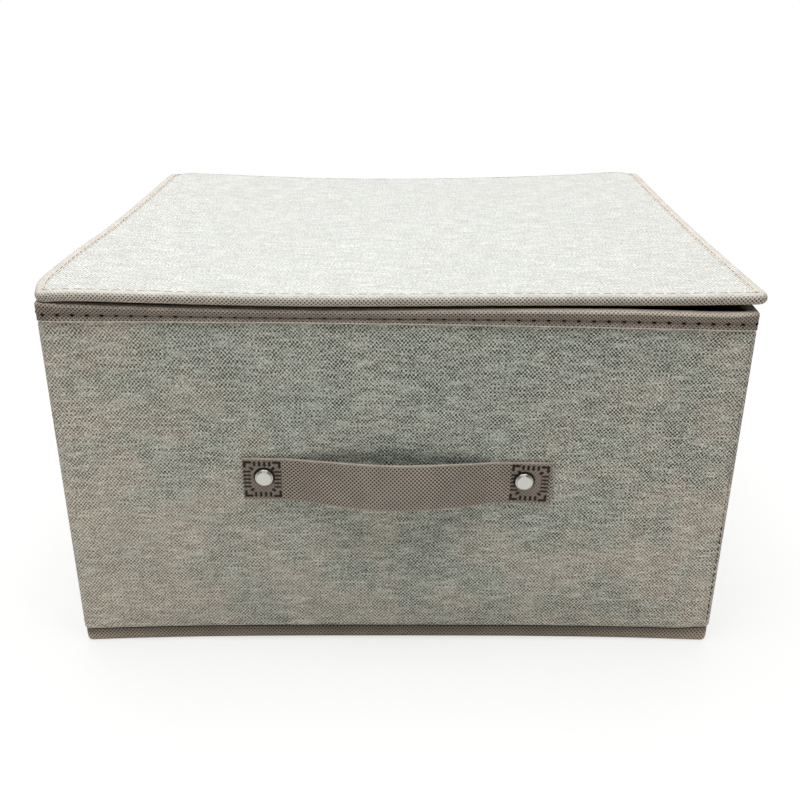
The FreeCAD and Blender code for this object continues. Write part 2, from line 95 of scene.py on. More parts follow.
# across the lid u runs from -1 on the left to 1, and back over it v runs from 0 to 1
lidSettling = {
    "halfX": 178.0,
    "front": 153.0,
    "depth": 304.6,
    "underside": (204.8, 3.6),  # a point this low belongs to the underside, fully so by this much lower
    "frontLeft": 1.0,
    "frontRight": -1.35,
    "backLeft": 0.6,
    "backRight": 1.9,
    "frontMiddle": -1.55,
    "backMiddle": -5.6,
    "sides": -2.1,
    "middleShare": 0.2,  # of the sides' sag that the middle keeps
    "underRoom": 0.6,  # how much less the underside sags, so that the base board lifts under it
    "skewFront": (-0.5, 2.0),  # the front edge's ends have moved this much to the right
    "slideBack": 1.8,  # the front edge has slid back until it lies level with the rim's face
    "slideRight": 3.2,  # and further to the right of the middle
    "slideRightFrom": (-0.3, 0.9),  # in u
    "skewBack": (6.2, 0.6),  # and the back edge's ends
    "pullForward": 2.8,  # the sagging rear edge lies inside the back wall
    "pullFrom": (0.72, 0.26),  # in v
    "cornerDroop": 1.6,
    "cornerReach": 13.0,
    "cornerPull": (4.0, 1.0),
    "rearCorner": (2.2, 2.2, 1.2),  # the rear corners are soft: down, inward and forward
    "rearPlace": 148.0,
    "rearReach": 9.0,
    "sideArch": 1.5,  # the left edge arches up in front of its middle
    "archPlace": -85.0,
    "archReach": (60.0, 50.0),
    "wave": 0.22,
    "waveUpTo": (170.0, -40.0),
}


def ease(t):
    # 3t^2 - 2t^3 between 0 and 1, flat outside
    t = np.clip(t, 0.0, 1.0)
    return t * t * (3.0 - 2.0 * t)


def between(share, first, second):
    # the first value where share is 0, the second where it is 1
    return first * (1.0 - share) + second * share


def onset(value, start):
    # 0 before the pair's place and 1 once its length has passed
    return ease((value - start[0]) / start[1])


def settleWalls(p, reach=60.0):
    # Where a point of the flat pattern lies on the settled box. Each wall's foot curves in by a cubic arch
    # that fades towards the rim, the front foot also rises, and the rim tips down to the right. reach is how
    # far in from a wall the wall's own shape is felt.
    s = wallSettling
    x, y, z = p[..., 0], p[..., 1], p[..., 2]
    across = np.clip(x / box["halfWidth"], -1.0, 1.0)
    along = np.clip(y / box["halfDepth"], -1.0, 1.0)
    arch = 1.0 - np.abs(across) ** s["bowPower"]
    sideArch = 1.0 - np.abs(along) ** s["bowPower"]
    fade = np.clip(1.0 - (z - box["seamTop"]) / (box["height"] - box["seamTop"]), 0.0, 1.0) ** 1.5
    foot = np.clip(1.0 - z / box["height"], 0.0, 1.0)
    level = np.clip(z / box["height"], 0.0, 1.03)
    low = np.clip(z / box["seamTop"], 0.0, 1.0)
    front = ease((-y - box["innerY"] + reach) / reach)
    back = ease((y - box["innerY"] + reach) / reach)
    side = ease((np.abs(x) - box["innerX"] + reach) / reach)
    frontward = np.clip(0.5 - 0.5 * y / box["halfDepth"], 0.0, 1.0)
    rightward = 0.5 + 0.5 * across
    seam = s["seamRise"] * arch
    cloth = s["clothRise"] + s["clothArch"] * arch + s["rightCornerRise"] * onset(x, s["rightCornerFrom"])
    rise = between(low, seam, cloth) * fade * front
    tilt = between(rightward, s["rimLeft"], s["rimRight"]) + s["rimMiddle"] * (1.0 - across**2)
    tilt = tilt * frontward * level**4
    sewnLeft, sewnMiddle, sewnRight = s["tapeLow"]
    sewn = between(rightward, sewnLeft, sewnRight) + sewnMiddle * (1.0 - across**2)
    tilt = tilt + sewn * front * onset(z, s["tapeLowFrom"]) * onset(z, s["tapeLowUpTo"])
    swell, middle, reachX = s["rimSwell"]
    uneven = swell * np.exp(-(((x - middle) / reachX) ** 2)) * front
    uneven = uneven - s["rimDrop"] * onset(x, s["rimDropFrom"]) * frontward
    tilt = tilt + uneven * onset(z, s["rimFrom"])
    dip = s["backRimDip"] * (1.0 - across**2) * level**4 * onset(y, s["backFrom"])
    inner = onset(z, s["waveFrom"]) * onset(z, s["waveUpTo"])
    ripple = s["wave"] * inner * np.sin(x / 27.0 + 1.1) * np.sin(z / 24.0 + 0.7) * onset(np.abs(x), s["waveUpToX"])
    sideRipple = s["wave"] * inner * np.sin(y / 25.0) * np.sin(z / 27.0 + 1.9) * onset(np.abs(y), s["waveUpToY"])
    crease = s["crease"] * np.exp(-((y / 1.3) ** 2)) * inner
    footX, footY = (between(rightward, *ends) for ends in zip(s["footLeft"], s["footRight"]))
    taped = onset(z, s["squeezeFrom"])
    pullIn = s["sideBow"] * sideArch * fade + sideRipple + crease + s["squeeze"][0] * taped
    dx = footX * foot * frontward - np.sign(x) * side * pullIn + s["rightShift"] * onset(x, s["rightShiftFrom"])
    dy = (s["bowIn"] * arch * fade + ripple + s["squeeze"][1] * taped) * front
    dy = dy - (s["backBow"] * arch * fade + ripple + s["squeeze"][1] * taped) * back
    dy = dy + footY * foot * frontward
    return np.stack([x + dx, y + dy, z + rise + tilt - dip], -1)


def settleLid(p):
    # The lid is a warped board: bilinear corner heights, a parabola across for the middle of the front and
    # back edges, another along for the sides, and a soft front left corner.
    s = lidSettling
    x, y, z = p[..., 0], p[..., 1], p[..., 2]
    u = np.clip(x / s["halfX"], -1.0, 1.0)
    v = np.clip((y + s["front"]) / s["depth"], 0.0, 1.0)
    under = np.clip((s["underside"][0] - z) / s["underside"][1], 0.0, 1.0)
    right = 0.5 + 0.5 * u
    lift = between(v, between(right, s["frontLeft"], s["frontRight"]), between(right, s["backLeft"], s["backRight"]))
    lift = lift + (1.0 - u**2) * between(v, s["frontMiddle"], s["backMiddle"])
    lift = lift + 4.0 * v * (1.0 - v) * s["sides"] * (s["middleShare"] + (1.0 - s["middleShare"]) * u**2)
    lift = lift + s["underRoom"] * (1.0 - u**2) * ease(v / 0.5) * under
    lift = lift + s["wave"] * np.sin(x / 31.0 + 0.4) * np.sin(y / 28.0 + 1.2) * onset(np.abs(x), s["waveUpTo"])
    corner = np.exp(-((x + s["halfX"]) ** 2 + (y + s["front"]) ** 2) / s["cornerReach"] ** 2)
    lift = lift - s["cornerDroop"] * corner
    reachX, reachY = s["archReach"]
    arch = np.exp(-(((y - s["archPlace"]) / reachY) ** 2) - ((x + s["halfX"]) / reachX) ** 2)
    lift = lift + s["sideArch"] * arch
    skew = between(v, between(right, *s["skewFront"]), between(right, *s["skewBack"]))
    pull = s["pullForward"] * np.sqrt(1.0 - u**2) * onset(v, s["pullFrom"])
    tuckX, tuckY = s["cornerPull"]
    slide = s["slideBack"] * (0.6 + 0.4 * u**2) + s["slideRight"] * onset(u, s["slideRightFrom"])
    slide = slide * (1.0 - v) - pull + tuckY * corner
    soft = np.exp(-((np.abs(x) - s["halfX"]) ** 2 + (y - s["rearPlace"]) ** 2) / s["rearReach"] ** 2)
    down, inward, forward = s["rearCorner"]
    dx = skew + tuckX * corner - inward * np.sign(x) * soft
    return np.stack([x + dx, y + slide - forward * soft, z + lift - down * soft], -1)


def nodeSpan(node):
    # lowest and highest corner of a CAD node, in mm
    low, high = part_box(node)
    return np.array(low) / metres, np.array(high) / metres


def lengthAlong(a, b):
    # how far each point of a line lies from its start, measured along it
    return np.concatenate([[0.0], np.cumsum(np.hypot(np.diff(a), np.diff(b)))])


def together(*parts):
    # arrays of matching shapes as the coordinates of one array of points
    return np.stack(np.broadcast_arrays(*parts), -1)


def raised(plan, height):
    # a flat plan's points at these heights
    return together(plan[..., 0], plan[..., 1], height)


def spread(low, high, step, edge=0.8):
    # even steps from low to high, with one narrow step at each end to keep the rim crisp
    count = max(2, int(round((high - low - 2.0 * edge) / step)) + 1)
    return np.concatenate([[low], np.linspace(low + edge, high - edge, count), [high]])


def gridMesh(name, points, cloth, wrapRows=False, wrapColumns=False, caps=False, facing=None):
    # Quads between neighbouring rows and columns of points; cloth holds each corner's place on the flat
    # cloth in mm. Faces are turned so that they look along facing, or away from the middle.
    rows, columns = points.shape[:2]
    r = np.arange(rows if wrapRows else rows - 1)
    c = np.arange(columns if wrapColumns else columns - 1)
    r, c = np.meshgrid(r, c, indexing="ij")
    r2, c2 = (r + 1) % rows, (c + 1) % columns
    faces = np.stack([r * columns + c, r2 * columns + c, r2 * columns + c2, r * columns + c2], -1).reshape(-1, 4)
    uv = np.stack([cloth[r, c], cloth[r + 1, c], cloth[r + 1, c + 1], cloth[r, c + 1]], -2).reshape(-1, 4, 2)
    flat = points.reshape(-1, 3)
    corner = flat[faces]
    normal = np.cross(corner[:, 2] - corner[:, 0], corner[:, 3] - corner[:, 1])
    middle = corner.mean(1) - flat.mean(0)
    turned = (normal * (middle if facing is None else facing)).sum() < 0.0
    if turned:
        faces, uv = faces[:, ::-1], uv[:, ::-1]
    loops, starts, loopUv = faces.ravel(), np.arange(0, faces.size, 4), uv.reshape(-1, 2)
    if caps:
        first = np.arange(columns)
        last = (rows - 1) * columns + np.arange(columns)[::-1]
        if turned:
            first, last = first[::-1], last[::-1]
        starts = np.concatenate([starts, [loops.size, loops.size + columns]])
        loops = np.concatenate([loops, first, last])
        ends = flat[np.concatenate([first, last])]
        loopUv = np.concatenate([loopUv, np.stack([ends[:, 0] + ends[:, 1], ends[:, 2]], -1)])
    mesh = bpy.data.meshes.new(name)
    mesh.vertices.add(len(flat))
    mesh.vertices.foreach_set("co", (flat * metres).astype(np.float32).ravel())
    mesh.loops.add(len(loops))
    mesh.loops.foreach_set("vertex_index", loops.astype(np.int32))
    mesh.polygons.add(len(starts))
    mesh.polygons.foreach_set("loop_start", starts.astype(np.int32))
    layer = mesh.uv_layers.new(name="Cloth")
    mesh.update(calc_edges=True)
    mesh.validate()
    layer.data.foreach_set("uv", loopUv.astype(np.float32).ravel())
    mesh.shade_smooth()
    piece = bpy.data.objects.new(name, mesh)
    bpy.context.scene.collection.objects.link(piece)
    return piece


def joinMeshes(whole, *others):
    # the first piece takes the others' faces, and points that meet at poles and seams become one
    work = bmesh.new()
    for part in (whole, *others):
        work.from_mesh(part.data)
    bmesh.ops.remove_doubles(work, verts=work.verts, dist=0.004 * metres)
    work.to_mesh(whole.data)
    work.free()
    for part in others:
        bpy.data.objects.remove(part)


def thicken(piece, thickness, even=True):
    # the sheet gains its thickness behind the face that shows
    wall = piece.modifiers.new("Thickness", "SOLIDIFY")
    wall.thickness = thickness * metres
    wall.offset = -1.0
    wall.use_rim = True
    wall.use_even_offset = even  # off for the cloth that folds flat over the hinge


def placePiece(piece, body, slot, material, *nodes):
    piece.data.materials.append(material)
    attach(piece, body)
    if nodes:
        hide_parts(*nodes)
    return piece


def rectanglePath(halfX, halfY, radius, step, openBack=None):
    # Runs round a rectangle with rounded corners, seen from above and anticlockwise from the front left.
    # Gives the points of the inner rectangle on which the corner arcs are centred, the outward
    # directions and the length run so far. With openBack the path starts and ends at that y on the sides.
    innerX, innerY = halfX - radius, halfY - radius
    counts = [max(4, int(round(2.0 * inner / step))) for inner in (innerX, innerY)]
    turns = [(-innerX, -innerY), (innerX, -innerY), (innerX, innerY), (-innerX, innerY), (-innerX, -innerY)]
    centres, outward = [], []
    if openBack is not None:
        turns = turns[:2] + [(innerX, openBack)]
        centres.append(np.linspace((-innerX, openBack), turns[0], counts[1])[:-1])
        outward.append(np.tile([-1.0, 0.0], (len(centres[0]), 1)))
    for index, (corner, following) in enumerate(zip(turns, turns[1:])):
        angle = np.radians(180.0 + 90.0 * index + np.linspace(0.0, 90.0, 9))
        line = np.linspace(corner, following, counts[index % 2])[1:]
        if following in turns[:-1]:
            line = line[:-1]  # the next corner's arc has this point
        centres += [np.tile(corner, (len(angle), 1)), line]
        arc = together(np.cos(angle), np.sin(angle))
        outward += [arc, np.tile(arc[-1], (len(line), 1))]
    centres, outward = np.concatenate(centres), np.concatenate(outward)
    points = centres + outward * radius
    points = np.concatenate([points, points[:1]])
    return {"centres": centres, "outward": outward, "run": lengthAlong(*points.T), "radius": radius,
            "inner": (innerX, innerY)}


def alongPath(path, inset):
    # The path moved in by inset, an array of one value per profile point. Past the corner radius the
    # corner is a mitre: the inner rectangle itself shrinks.
    radius, (innerX, innerY) = path["radius"], path["inner"]
    inset = np.asarray(inset, float)
    past = np.maximum(inset - radius, 0.0)
    shrink = together(1.0 - past / innerX, 1.0 - past / innerY)
    reach = np.maximum(radius - inset, 0.0)[:, None]
    return path["centres"][:, None] * shrink + path["outward"][:, None] * reach


def plateGrid(low, high, radius, step):
    # A rectangle's grid whose corner squares are pressed into quarter discs: a point's distance from the
    # arc's centre is multiplied by the larger of its two shares over their hypotenuse.
    x, y = np.meshgrid(spread(low[0], high[0], step), spread(low[1], high[1], step), indexing="ij")
    centreX = np.clip(x, low[0] + radius, high[0] - radius)
    centreY = np.clip(y, low[1] + radius, high[1] - radius)
    dx, dy = x - centreX, y - centreY
    long = np.hypot(dx, dy)
    press = np.where(long > 1e-9, np.maximum(np.abs(dx), np.abs(dy)) / np.maximum(long, 1e-9), 1.0)
    press = np.where((np.abs(dx) > 1e-9) & (np.abs(dy) > 1e-9), press, 1.0)
    return np.stack([centreX + dx * press, centreY + dy * press], -1)


def hexColor(text):
    # sRGB hex to linear: ((c + 0.055) / 1.055) ^ 2.4, or c / 12.92 when dark
    parts = [int(text[i : i + 2], 16) / 255.0 for i in (1, 3, 5)]
    return tuple(c / 12.92 if c <= 0.04045 else ((c + 0.055) / 1.055) ** 2.4 for c in parts) + (1.0,)


modeOf = {"Math": "operation", "VectorMath": "operation", "MapRange": "interpolation_type", "Mix": "data_type",
          "TexNoise": "noise_dimensions", "TexVoronoi": "feature"}


def addNode(tree, kind, inputs=(), **settings):
    # Adds a shader node; after a dot, kind names its mode. An input is a number, an sRGB hex colour, an output,
    # or a node, which stands for its first output or, when it mixes colours, its third.
    kind, _, mode = kind.partition(".")
    node = tree.nodes.new("ShaderNode" + kind)
    if mode:
        setattr(node, modeOf[kind], mode)
    for key, value in settings.items():
        setattr(node, key, value)
    for key, value in inputs.items() if isinstance(inputs, dict) else enumerate(inputs):
        if isinstance(value, bpy.types.Node):
            value = value.outputs[2 if getattr(value, "data_type", "") == "RGBA" else 0]
        if isinstance(value, bpy.types.NodeSocket):
            tree.links.new(value, node.inputs[key])
        else:
            node.inputs[key].default_value = hexColor(value) if isinstance(value, str) else value
    return node


def newMaterial(name, build, *details):
    # build adds the nodes and returns a shader, or what the inputs of the usual surface shader take
    material = bpy.data.materials.new(name)
    material.use_nodes = True
    material.node_tree.nodes.clear()
    add = partial(addNode, material.node_tree)
    surface = build(add, *details)
    if isinstance(surface, dict):
        surface = add("BsdfPrincipled", surface)
    add("OutputMaterial", (surface,))
    return material


linen = {
    "threadAcross": 0.965,  # mm between warp threads
    "threadUp": 1.09,  # mm between weft threads
    "pale": "#F5F7F3",
    # dark threads, deepened with painted shade in the gaps between them, as on upright cloth under light from above
    "dark": "#43433F",
    # the dark threads' colour where the most light is painted in
    "wornDark": "#7A6F66",
    "rosy": "#FAF3EA",
    "green": "#E5EAE3",
    "crossing": 0.8,
    "slub": 1.8,  # how much each thread's own tone does
    "fleck": 1.25,  # and the fine flecks
    "bump": 0.34,
    "worn": (19.0, -2.2, 0.22, 0.4),  # painted light, paler with x^2 and with z, in metres; from the start; and unevenly in random clouds
    "faded": (2.1, -2.6),  # painted light: the dark gaps turn paler with worn^2 and with x
}
# the same cloth where it lies flat: the light comes straight down between the threads and hides the gaps
lidLinen = {**linen, "pale": "#DFDFDD", "dark": "#9F9F9D", "wornDark": "#9F9F9D", "rosy": "#FDFCFA",
            "green": "#FAFCFA", "fleck": 2.0, "bump": 0.22}


def linenCloth(add, tone):
    # Linen-look cloth, a plain weave of thick and thin polyester threads: matt, flecked grey-beige, with a
    # checker of raised threads and longer slubs both ways.
    uv = add("UVMap", uv_map="Cloth")
    wander = add("TexNoise.2D", {"Vector": uv, "Scale": 0.22, "Detail": 1.0})
    shift = add("VectorMath.MULTIPLY_ADD", (wander.outputs["Color"], (0.9, 0.9, 0.0), uv))
    place = add("SeparateXYZ", (shift,))
    u = add("Math.DIVIDE", (place, tone["threadAcross"]))
    v = add("Math.DIVIDE", (place.outputs[1], tone["threadUp"]))

    # which thread lies on top: sin(pi u) sin(pi v) changes sign from one crossing to the next
    def crossing(turn, lag):
        a = add("Math.MULTIPLY_ADD", (u, math.pi * turn, lag))
        b = add("Math.MULTIPLY_ADD", (v, math.pi * turn, lag * 0.6))
        return add("Math.MULTIPLY", (add("Math.SINE", (a,)), add("Math.SINE", (b,))))

    weave, second = crossing(1.0, 0.0), crossing(1.4, 0.8)
    patch = add("TexNoise.2D", {"Vector": uv, "Scale": 0.16, "Detail": 1.0})
    share = add("MapRange.SMOOTHSTEP", (patch, 0.35, 0.65, 0.05, 0.4))
    checker = add("Mix.FLOAT", {0: share, 2: weave, 3: second})
    # each thread's own tone: noise that changes along the thread and jumps from thread to thread
    thread = []
    for own, other, gain in ((u, v, 0.6), (v, u, 1.3)):
        number = add("Math.MULTIPLY", (add("Math.FLOOR", (own,)), 7.31))
        spot = add("CombineXYZ", (number, add("Math.MULTIPLY", (other, 0.085)), 3.0 if own is u else 41.0))
        noise = add("TexNoise.3D", {"Vector": spot, "Scale": 1.0, "Detail": 2.0})
        # the weft's slubs show, the warp is spun more evenly
        thread.append(add("Math.MULTIPLY_ADD", (noise, gain, 0.5 - 0.5 * gain)))
    top = add("MapRange.SMOOTHSTEP", (weave, -0.3, 0.3))
    slub = add("Mix.FLOAT", {0: top, 2: thread[1], 3: thread[0]})
    fleck = add("TexNoise.2D", {"Vector": uv, "Scale": 0.9, "Detail": 3.0})
    # the tone is 0.53 plus what the slubs, the flecks and the checker add or take, each centred on 0
    rest = 0.53 - 0.5 * (tone["slub"] + tone["fleck"])
    mix = add("Math.MULTIPLY_ADD", (slub, tone["slub"], rest))
    mix = add("Math.MULTIPLY_ADD", (fleck, tone["fleck"], mix))
    mix = add("Math.MULTIPLY_ADD", (checker, tone["crossing"], mix), use_clamp=True)
    cloud = add("TexNoise.2D", {"Vector": uv, "Scale": 0.03, "Detail": 3.0})
    rosy = add("MapRange.SMOOTHSTEP", (cloud, 0.36, 0.64))
    # painted light: the cloth is paler and warmer towards the lower corners and the foot, where more light reaches
    # it, and unevenly in clouds
    sideways, downwards, start, clouds = tone["worn"]
    spot = add("SeparateXYZ", (add("TexCoord").outputs["Object"],))
    square = add("Math.MULTIPLY", (spot, spot))
    worn = add("Math.MULTIPLY_ADD", (spot.outputs[2], downwards, start))
    worn = add("Math.MULTIPLY_ADD", (square, sideways, worn))
    worn = add("Math.MULTIPLY_ADD", (rosy, clouds, worn), use_clamp=True)
    tint = add("Mix.RGBA", {0: worn, 6: tone["green"], 7: tone["rosy"]})
    # painted light: the dark gaps fade later than the tint, and more on the left, where more light falls
    aside = add("Math.MULTIPLY", (spot, tone["faded"][1]))
    faded = add("Math.MULTIPLY_ADD", (add("Math.MULTIPLY", (worn, worn)), tone["faded"][0], aside), use_clamp=True)
    dark = add("Mix.RGBA", {0: faded, 6: tone["dark"], 7: tone["wornDark"]})
    yarn = add("Mix.RGBA", {0: mix, 6: dark, 7: tone["pale"]})
    color = add("Mix.RGBA", {0: 1.0, 6: yarn, 7: tint}, blend_type="MULTIPLY")
    height = add("Math.MULTIPLY_ADD", (slub, 0.9, checker))
    bump = add("Bump", {"Height": height, "Strength": 1.0, "Distance": tone["bump"] * metres})
    return {"Base Color": color, "Roughness": 0.92, "IOR": 1.5, "Specular IOR Level": 0.25, "Sheen Weight": 0.12,
            "Sheen Roughness": 0.6, "Normal": bump}


tape = {
    "pitch": 2.07,  # mm between pits along the tape
    "rows": 2.0,  # and across
    "pit": (-0.05, 0.55),  # the wave starts to be pit at the first and is pit from the second on
    "base": "#9F9387",
    "dot": "#1F1A16",
    "cut": "#D2C9BE",
    "seam": 3.8,  # where the row of stitches runs across the tape, None without painted shade along it
    "groove": (0.2, 1.7, 0.74),  # how far the painted shade's floor and its edge lie from there, and the share of light left at its floor
    "ends": 0.0,  # painted light: how much paler the tape is at the box's left and right, where more light reaches it
    "bump": 0.25,
    "turn": (0.0, 0.8),  # from face to crest colour as the face turns upwards
    "fade": (0.0, 0.8),  # and from pit to crest pit
    "crest": "#BEB4A9",
    "crestDot": "#776D63",
}
# at the foot the cloth hangs over the tape's upper edge and keeps the light off it
footTape = {**tape, "base": "#A29687", "dot": "#372F29", "cut": "#453D36", "seam": 0.0, "groove": (0.6, 5.2, 0.5),
            # painted light: the foot tape is paler towards the box's ends
            "ends": 0.75}
# the lid's tape with painted light: paler where it lies under the light from above, its pits painted lit sooner as
# it turns upwards
lidTape = {**tape, "base": "#CEC4B7", "dot": "#2C2620", "seam": None, "turn": (-0.3, 0.5), "fade": (0.0, 0.85),
           "crest": "#CDC8C0", "crestDot": "#B4B0AA"}
strapTape = {**tape, "pitch": 2.1, "rows": 2.16, "pit": (-0.15, 0.4), "base": "#B9AEA2", "dot": "#16110E",
             "cut": "#B1A69A", "seam": None, "bump": 0.35, "crest": "#B9AEA2"}


def embossedTape(add, tone, halfWidth=None):
    # Spunbond polypropylene pressed by a roller with staggered points: matt fibres with small pits, painted dark
    # with the shade that lies in them.
    # Across a strap the pits stop short of the sealed edges, and the welded ends are melted darker.
    uv = add("UVMap", uv_map="Cloth")
    place = add("SeparateXYZ", (uv,))
    # staggered pits: cos(2 pi u / pitch) cos(2 pi v / rows) is high in every second cell
    waves = [add("Math.COSINE", (add("Math.MULTIPLY", (place.outputs[axis], 2.0 * math.pi / tone[word])),))
             for axis, word in enumerate(("pitch", "rows"))]
    pit = add("MapRange.SMOOTHSTEP", (add("Math.MULTIPLY", waves), *tone["pit"]))
    # the tape is cut along v = 0 and a strap is sealed along v = halfWidth: no pits there, and a painted line along
    # the edge, a highlight where it catches the light and, on the foot tape, shade under the cloth
    far = add("Math.ABSOLUTE", (place.outputs[1],)) if halfWidth else place.outputs[1]
    rim = add("Math.SUBTRACT", (far, halfWidth or 0.0))
    rim = add("MapRange.SMOOTHSTEP", (add("Math.ABSOLUTE", (rim,)), 0.35, 0.75, 1.0, 0.0))
    pit = add("Math.MULTIPLY_ADD", (rim, -2.0, pit), use_clamp=True)
    fibre = add("TexNoise.2D", {"Vector": uv, "Scale": 1.6, "Detail": 4.0})
    cloud = add("TexNoise.2D", {"Vector": uv, "Scale": 0.08, "Detail": 2.0})
    light = add("MapRange", (fibre, 0.25, 0.75, 0.82, 1.16))
    shade = add("MapRange", (cloud, 0.3, 0.7, 0.93, 1.07))
    light = add("Math.MULTIPLY", (light, shade))
    # where the tape turns to the light its face is paler, and the pits are lit to their floors a little later
    upward = add("SeparateXYZ", (add("TexCoord").outputs["Normal"],)).outputs[2]
    face, floor = (
        add("Mix.RGBA", {0: add("MapRange.SMOOTHSTEP", (upward, *tone[span])), 6: tone[low], 7: tone[high]})
        for low, high, span in (("base", "crest", "turn"), ("dot", "crestDot", "fade")))
    color = add("Mix.RGBA", {0: pit, 6: face, 7: floor})
    color = add("Mix.RGBA", {0: rim, 6: color, 7: tone["cut"]})
    # painted shade along the seam: darker where the row of stitches pulls the tape in, and at the foot along the
    # upper edge under the cloth
    if tone["seam"] is not None:
        groove = add("Math.ABSOLUTE", (add("Math.SUBTRACT", (place.outputs[1], tone["seam"])),))
        groove = add("MapRange.SMOOTHSTEP", (groove, *tone["groove"], 1.0))
        light = add("Math.MULTIPLY", (light, groove))
    if tone["ends"]:
        # painted light, paler towards both sides: 1 + ends (x / 178 mm)^4
        spot = add("SeparateXYZ", (add("TexCoord").outputs["Object"],))
        for _ in range(2):
            spot = add("Math.MULTIPLY", (spot, spot))
        spot = add("Math.MULTIPLY_ADD", (spot, tone["ends"] / 0.178**4, 1.0))
        light = add("Math.MULTIPLY", (light, spot))
    color = add("VectorMath.SCALE", {0: color, "Scale": light})
    height = add("Math.MULTIPLY_ADD", (pit, -1.0, fibre))
    if halfWidth:
        melted = add("Attribute", attribute_name="melted").outputs["Fac"]
        pressedAndShaded = add("Attribute", attribute_name="pressedAndShaded").outputs["Fac"]
        color = add("Mix.RGBA", {0: add("Math.MULTIPLY", (melted, 0.7)), 6: color, 7: "#857A70"})
        # near black on the pressed weld marks, and in the painted shadow ring round each rivet cap
        color = add("Mix.RGBA", {0: pressedAndShaded, 6: color, 7: "#241A15"})
        calm = add("Math.MULTIPLY_ADD", (melted, -0.5, 1.0))
        height = add("Math.MULTIPLY", (height, calm))
    bump = add("Bump", {"Height": height, "Strength": 1.0, "Distance": tone["bump"] * metres})
    return {"Base Color": color, "Roughness": 0.72, "IOR": 1.49, "Specular IOR Level": 0.35, "Normal": bump}


def nonWovenLining(add, base):
    # Thin spunbond polypropylene: pale crossing fibres bonded at small square points, slightly satin.
    uv = add("UVMap", uv_map="Cloth")
    bond = add("TexVoronoi.F1", {"Vector": uv, "Scale": 1.0 / 1.15, "Randomness": 0.12}, distance="CHEBYCHEV",
               voronoi_dimensions="2D")
    pit = add("MapRange.SMOOTHSTEP", (bond.outputs["Distance"], 0.2, 0.34, 1.0, 0.0))
    stretch = add("Mapping", {"Vector": uv, "Scale": (0.35, 1.5, 1.0), "Rotation": (0.0, 0.0, 0.5)})
    fibre = add("TexNoise.2D", {"Vector": stretch, "Scale": 1.6, "Detail": 5.0, "Distortion": 0.6})
    light = add("MapRange", (fibre, 0.25, 0.75, 0.86, 1.1))
    dim = add("Math.MULTIPLY_ADD", (pit, -0.13, light))
    color = add("VectorMath.SCALE", {0: hexColor(base)[:3], "Scale": dim})
    height = add("Math.MULTIPLY_ADD", (pit, -0.8, fibre))
    bump = add("Bump", {"Height": height, "Strength": 0.8, "Distance": 0.12 * metres})
    return {"Base Color": color, "Roughness": 0.68, "IOR": 1.49, "Specular IOR Level": 0.35, "Normal": bump}


def greyBoard(add):
    # Recycled paper board: grey-brown pulp with darker flecks, dead matt.
    where = add("TexCoord").outputs["Object"]
    pulp = add("TexNoise", {"Vector": where, "Scale": 900.0, "Detail": 5.0})
    flecks = add("TexVoronoi.F1", {"Vector": where, "Scale": 420.0})
    dark = add("MapRange", (flecks.outputs["Distance"], 0.0, 0.22, 0.55, 0.0))
    base = add("Mix.RGBA", {0: pulp, 6: "#8F826D", 7: "#B5A88F"})
    color = add("Mix.RGBA", {0: dark, 6: base, 7: "#6A5E4D"})
    bump = add("Bump", {"Height": pulp, "Strength": 0.5, "Distance": 0.0002})
    return {"Base Color": color, "Roughness": 0.95, "IOR": 1.45, "Specular IOR Level": 0.2, "Normal": bump}


def nickelPlate(add):
    # Nickel-plated steel, pressed and barrel-polished: warm white metal with fine scuffs that soften the shine.
    where = add("TexCoord").outputs["Object"]
    scuff = add("TexNoise", {"Vector": where, "Scale": 2600.0, "Detail": 3.0})
    rough = add("MapRange", (scuff, 0.3, 0.75, 0.16, 0.34))
    bump = add("Bump", {"Height": scuff, "Strength": 0.15, "Distance": 0.00005})
    return {"Base Color": "#C2C2BA", "Metallic": 1.0, "Roughness": rough, "Normal": bump}


def sewingThread(add, base, shade, gloss=1.0):
    # Twisted polyester thread: two plies show as slanting stripes, with a faint gloss.
    uv = add("UVMap", uv_map="Cloth")
    ply = add("TexWave", {"Vector": uv, "Scale": 1.1, "Distortion": 0.4}, bands_direction="DIAGONAL")
    color = add("Mix.RGBA", {0: ply.outputs["Fac"], 6: base, 7: shade})
    return {"Base Color": color, "Roughness": 0.6, "IOR": 1.53, "Specular IOR Level": 0.5 * gloss,
            "Sheen Weight": 0.2 * gloss}


clothMaterial = newMaterial("linen-look woven polyester", linenCloth, linen)
lidClothMaterial = newMaterial("linen-look woven polyester of the lid", linenCloth, lidLinen)
tapeMaterial = newMaterial("spunbond polypropylene tape", embossedTape, tape)
footTapeMaterial = newMaterial("spunbond polypropylene tape of the foot", embossedTape, footTape)
lidTapeMaterial = newMaterial("spunbond polypropylene tape of the lid", embossedTape, lidTape)
strapMaterial = newMaterial("spunbond polypropylene strap", embossedTape, strapTape, 12.5)
liningMaterial = newMaterial("non-woven polypropylene lining", nonWovenLining, "#B9B3A8")
boardMaterial = newMaterial("grey board", greyBoard)
metalMaterial = newMaterial("nickel-plated steel", nickelPlate)
threadMaterial = newMaterial("polyester thread", sewingThread, "#8E8377", "#6B5F54")
# the lid's thread, painted paler as it lies in the light from above
lidThreadMaterial = newMaterial("polyester thread of the lid, painted lit", sewingThread, "#B9B1A7", "#9E958B")
# near-black thread without gloss for the needle holes: painted shade
holeShadeMaterial = newMaterial("painted shade in a needle hole", sewingThread, "#0C0907", "#16110D", 0.0)
print("materials made")

cover = {
    "cornerRadius": 4.0, "thickness": 0.8, "top": 199.2, "foot": 7.2, "returnEnd": 144.0, "step": 3.0,
    "rollOut": (-2.1, -1.5, -0.8, -0.25, 0.0),  # the cloth's turn round the board's foot
    "rollUp": (0.55, 0.05, -0.05, 0.35, 1.1),
}


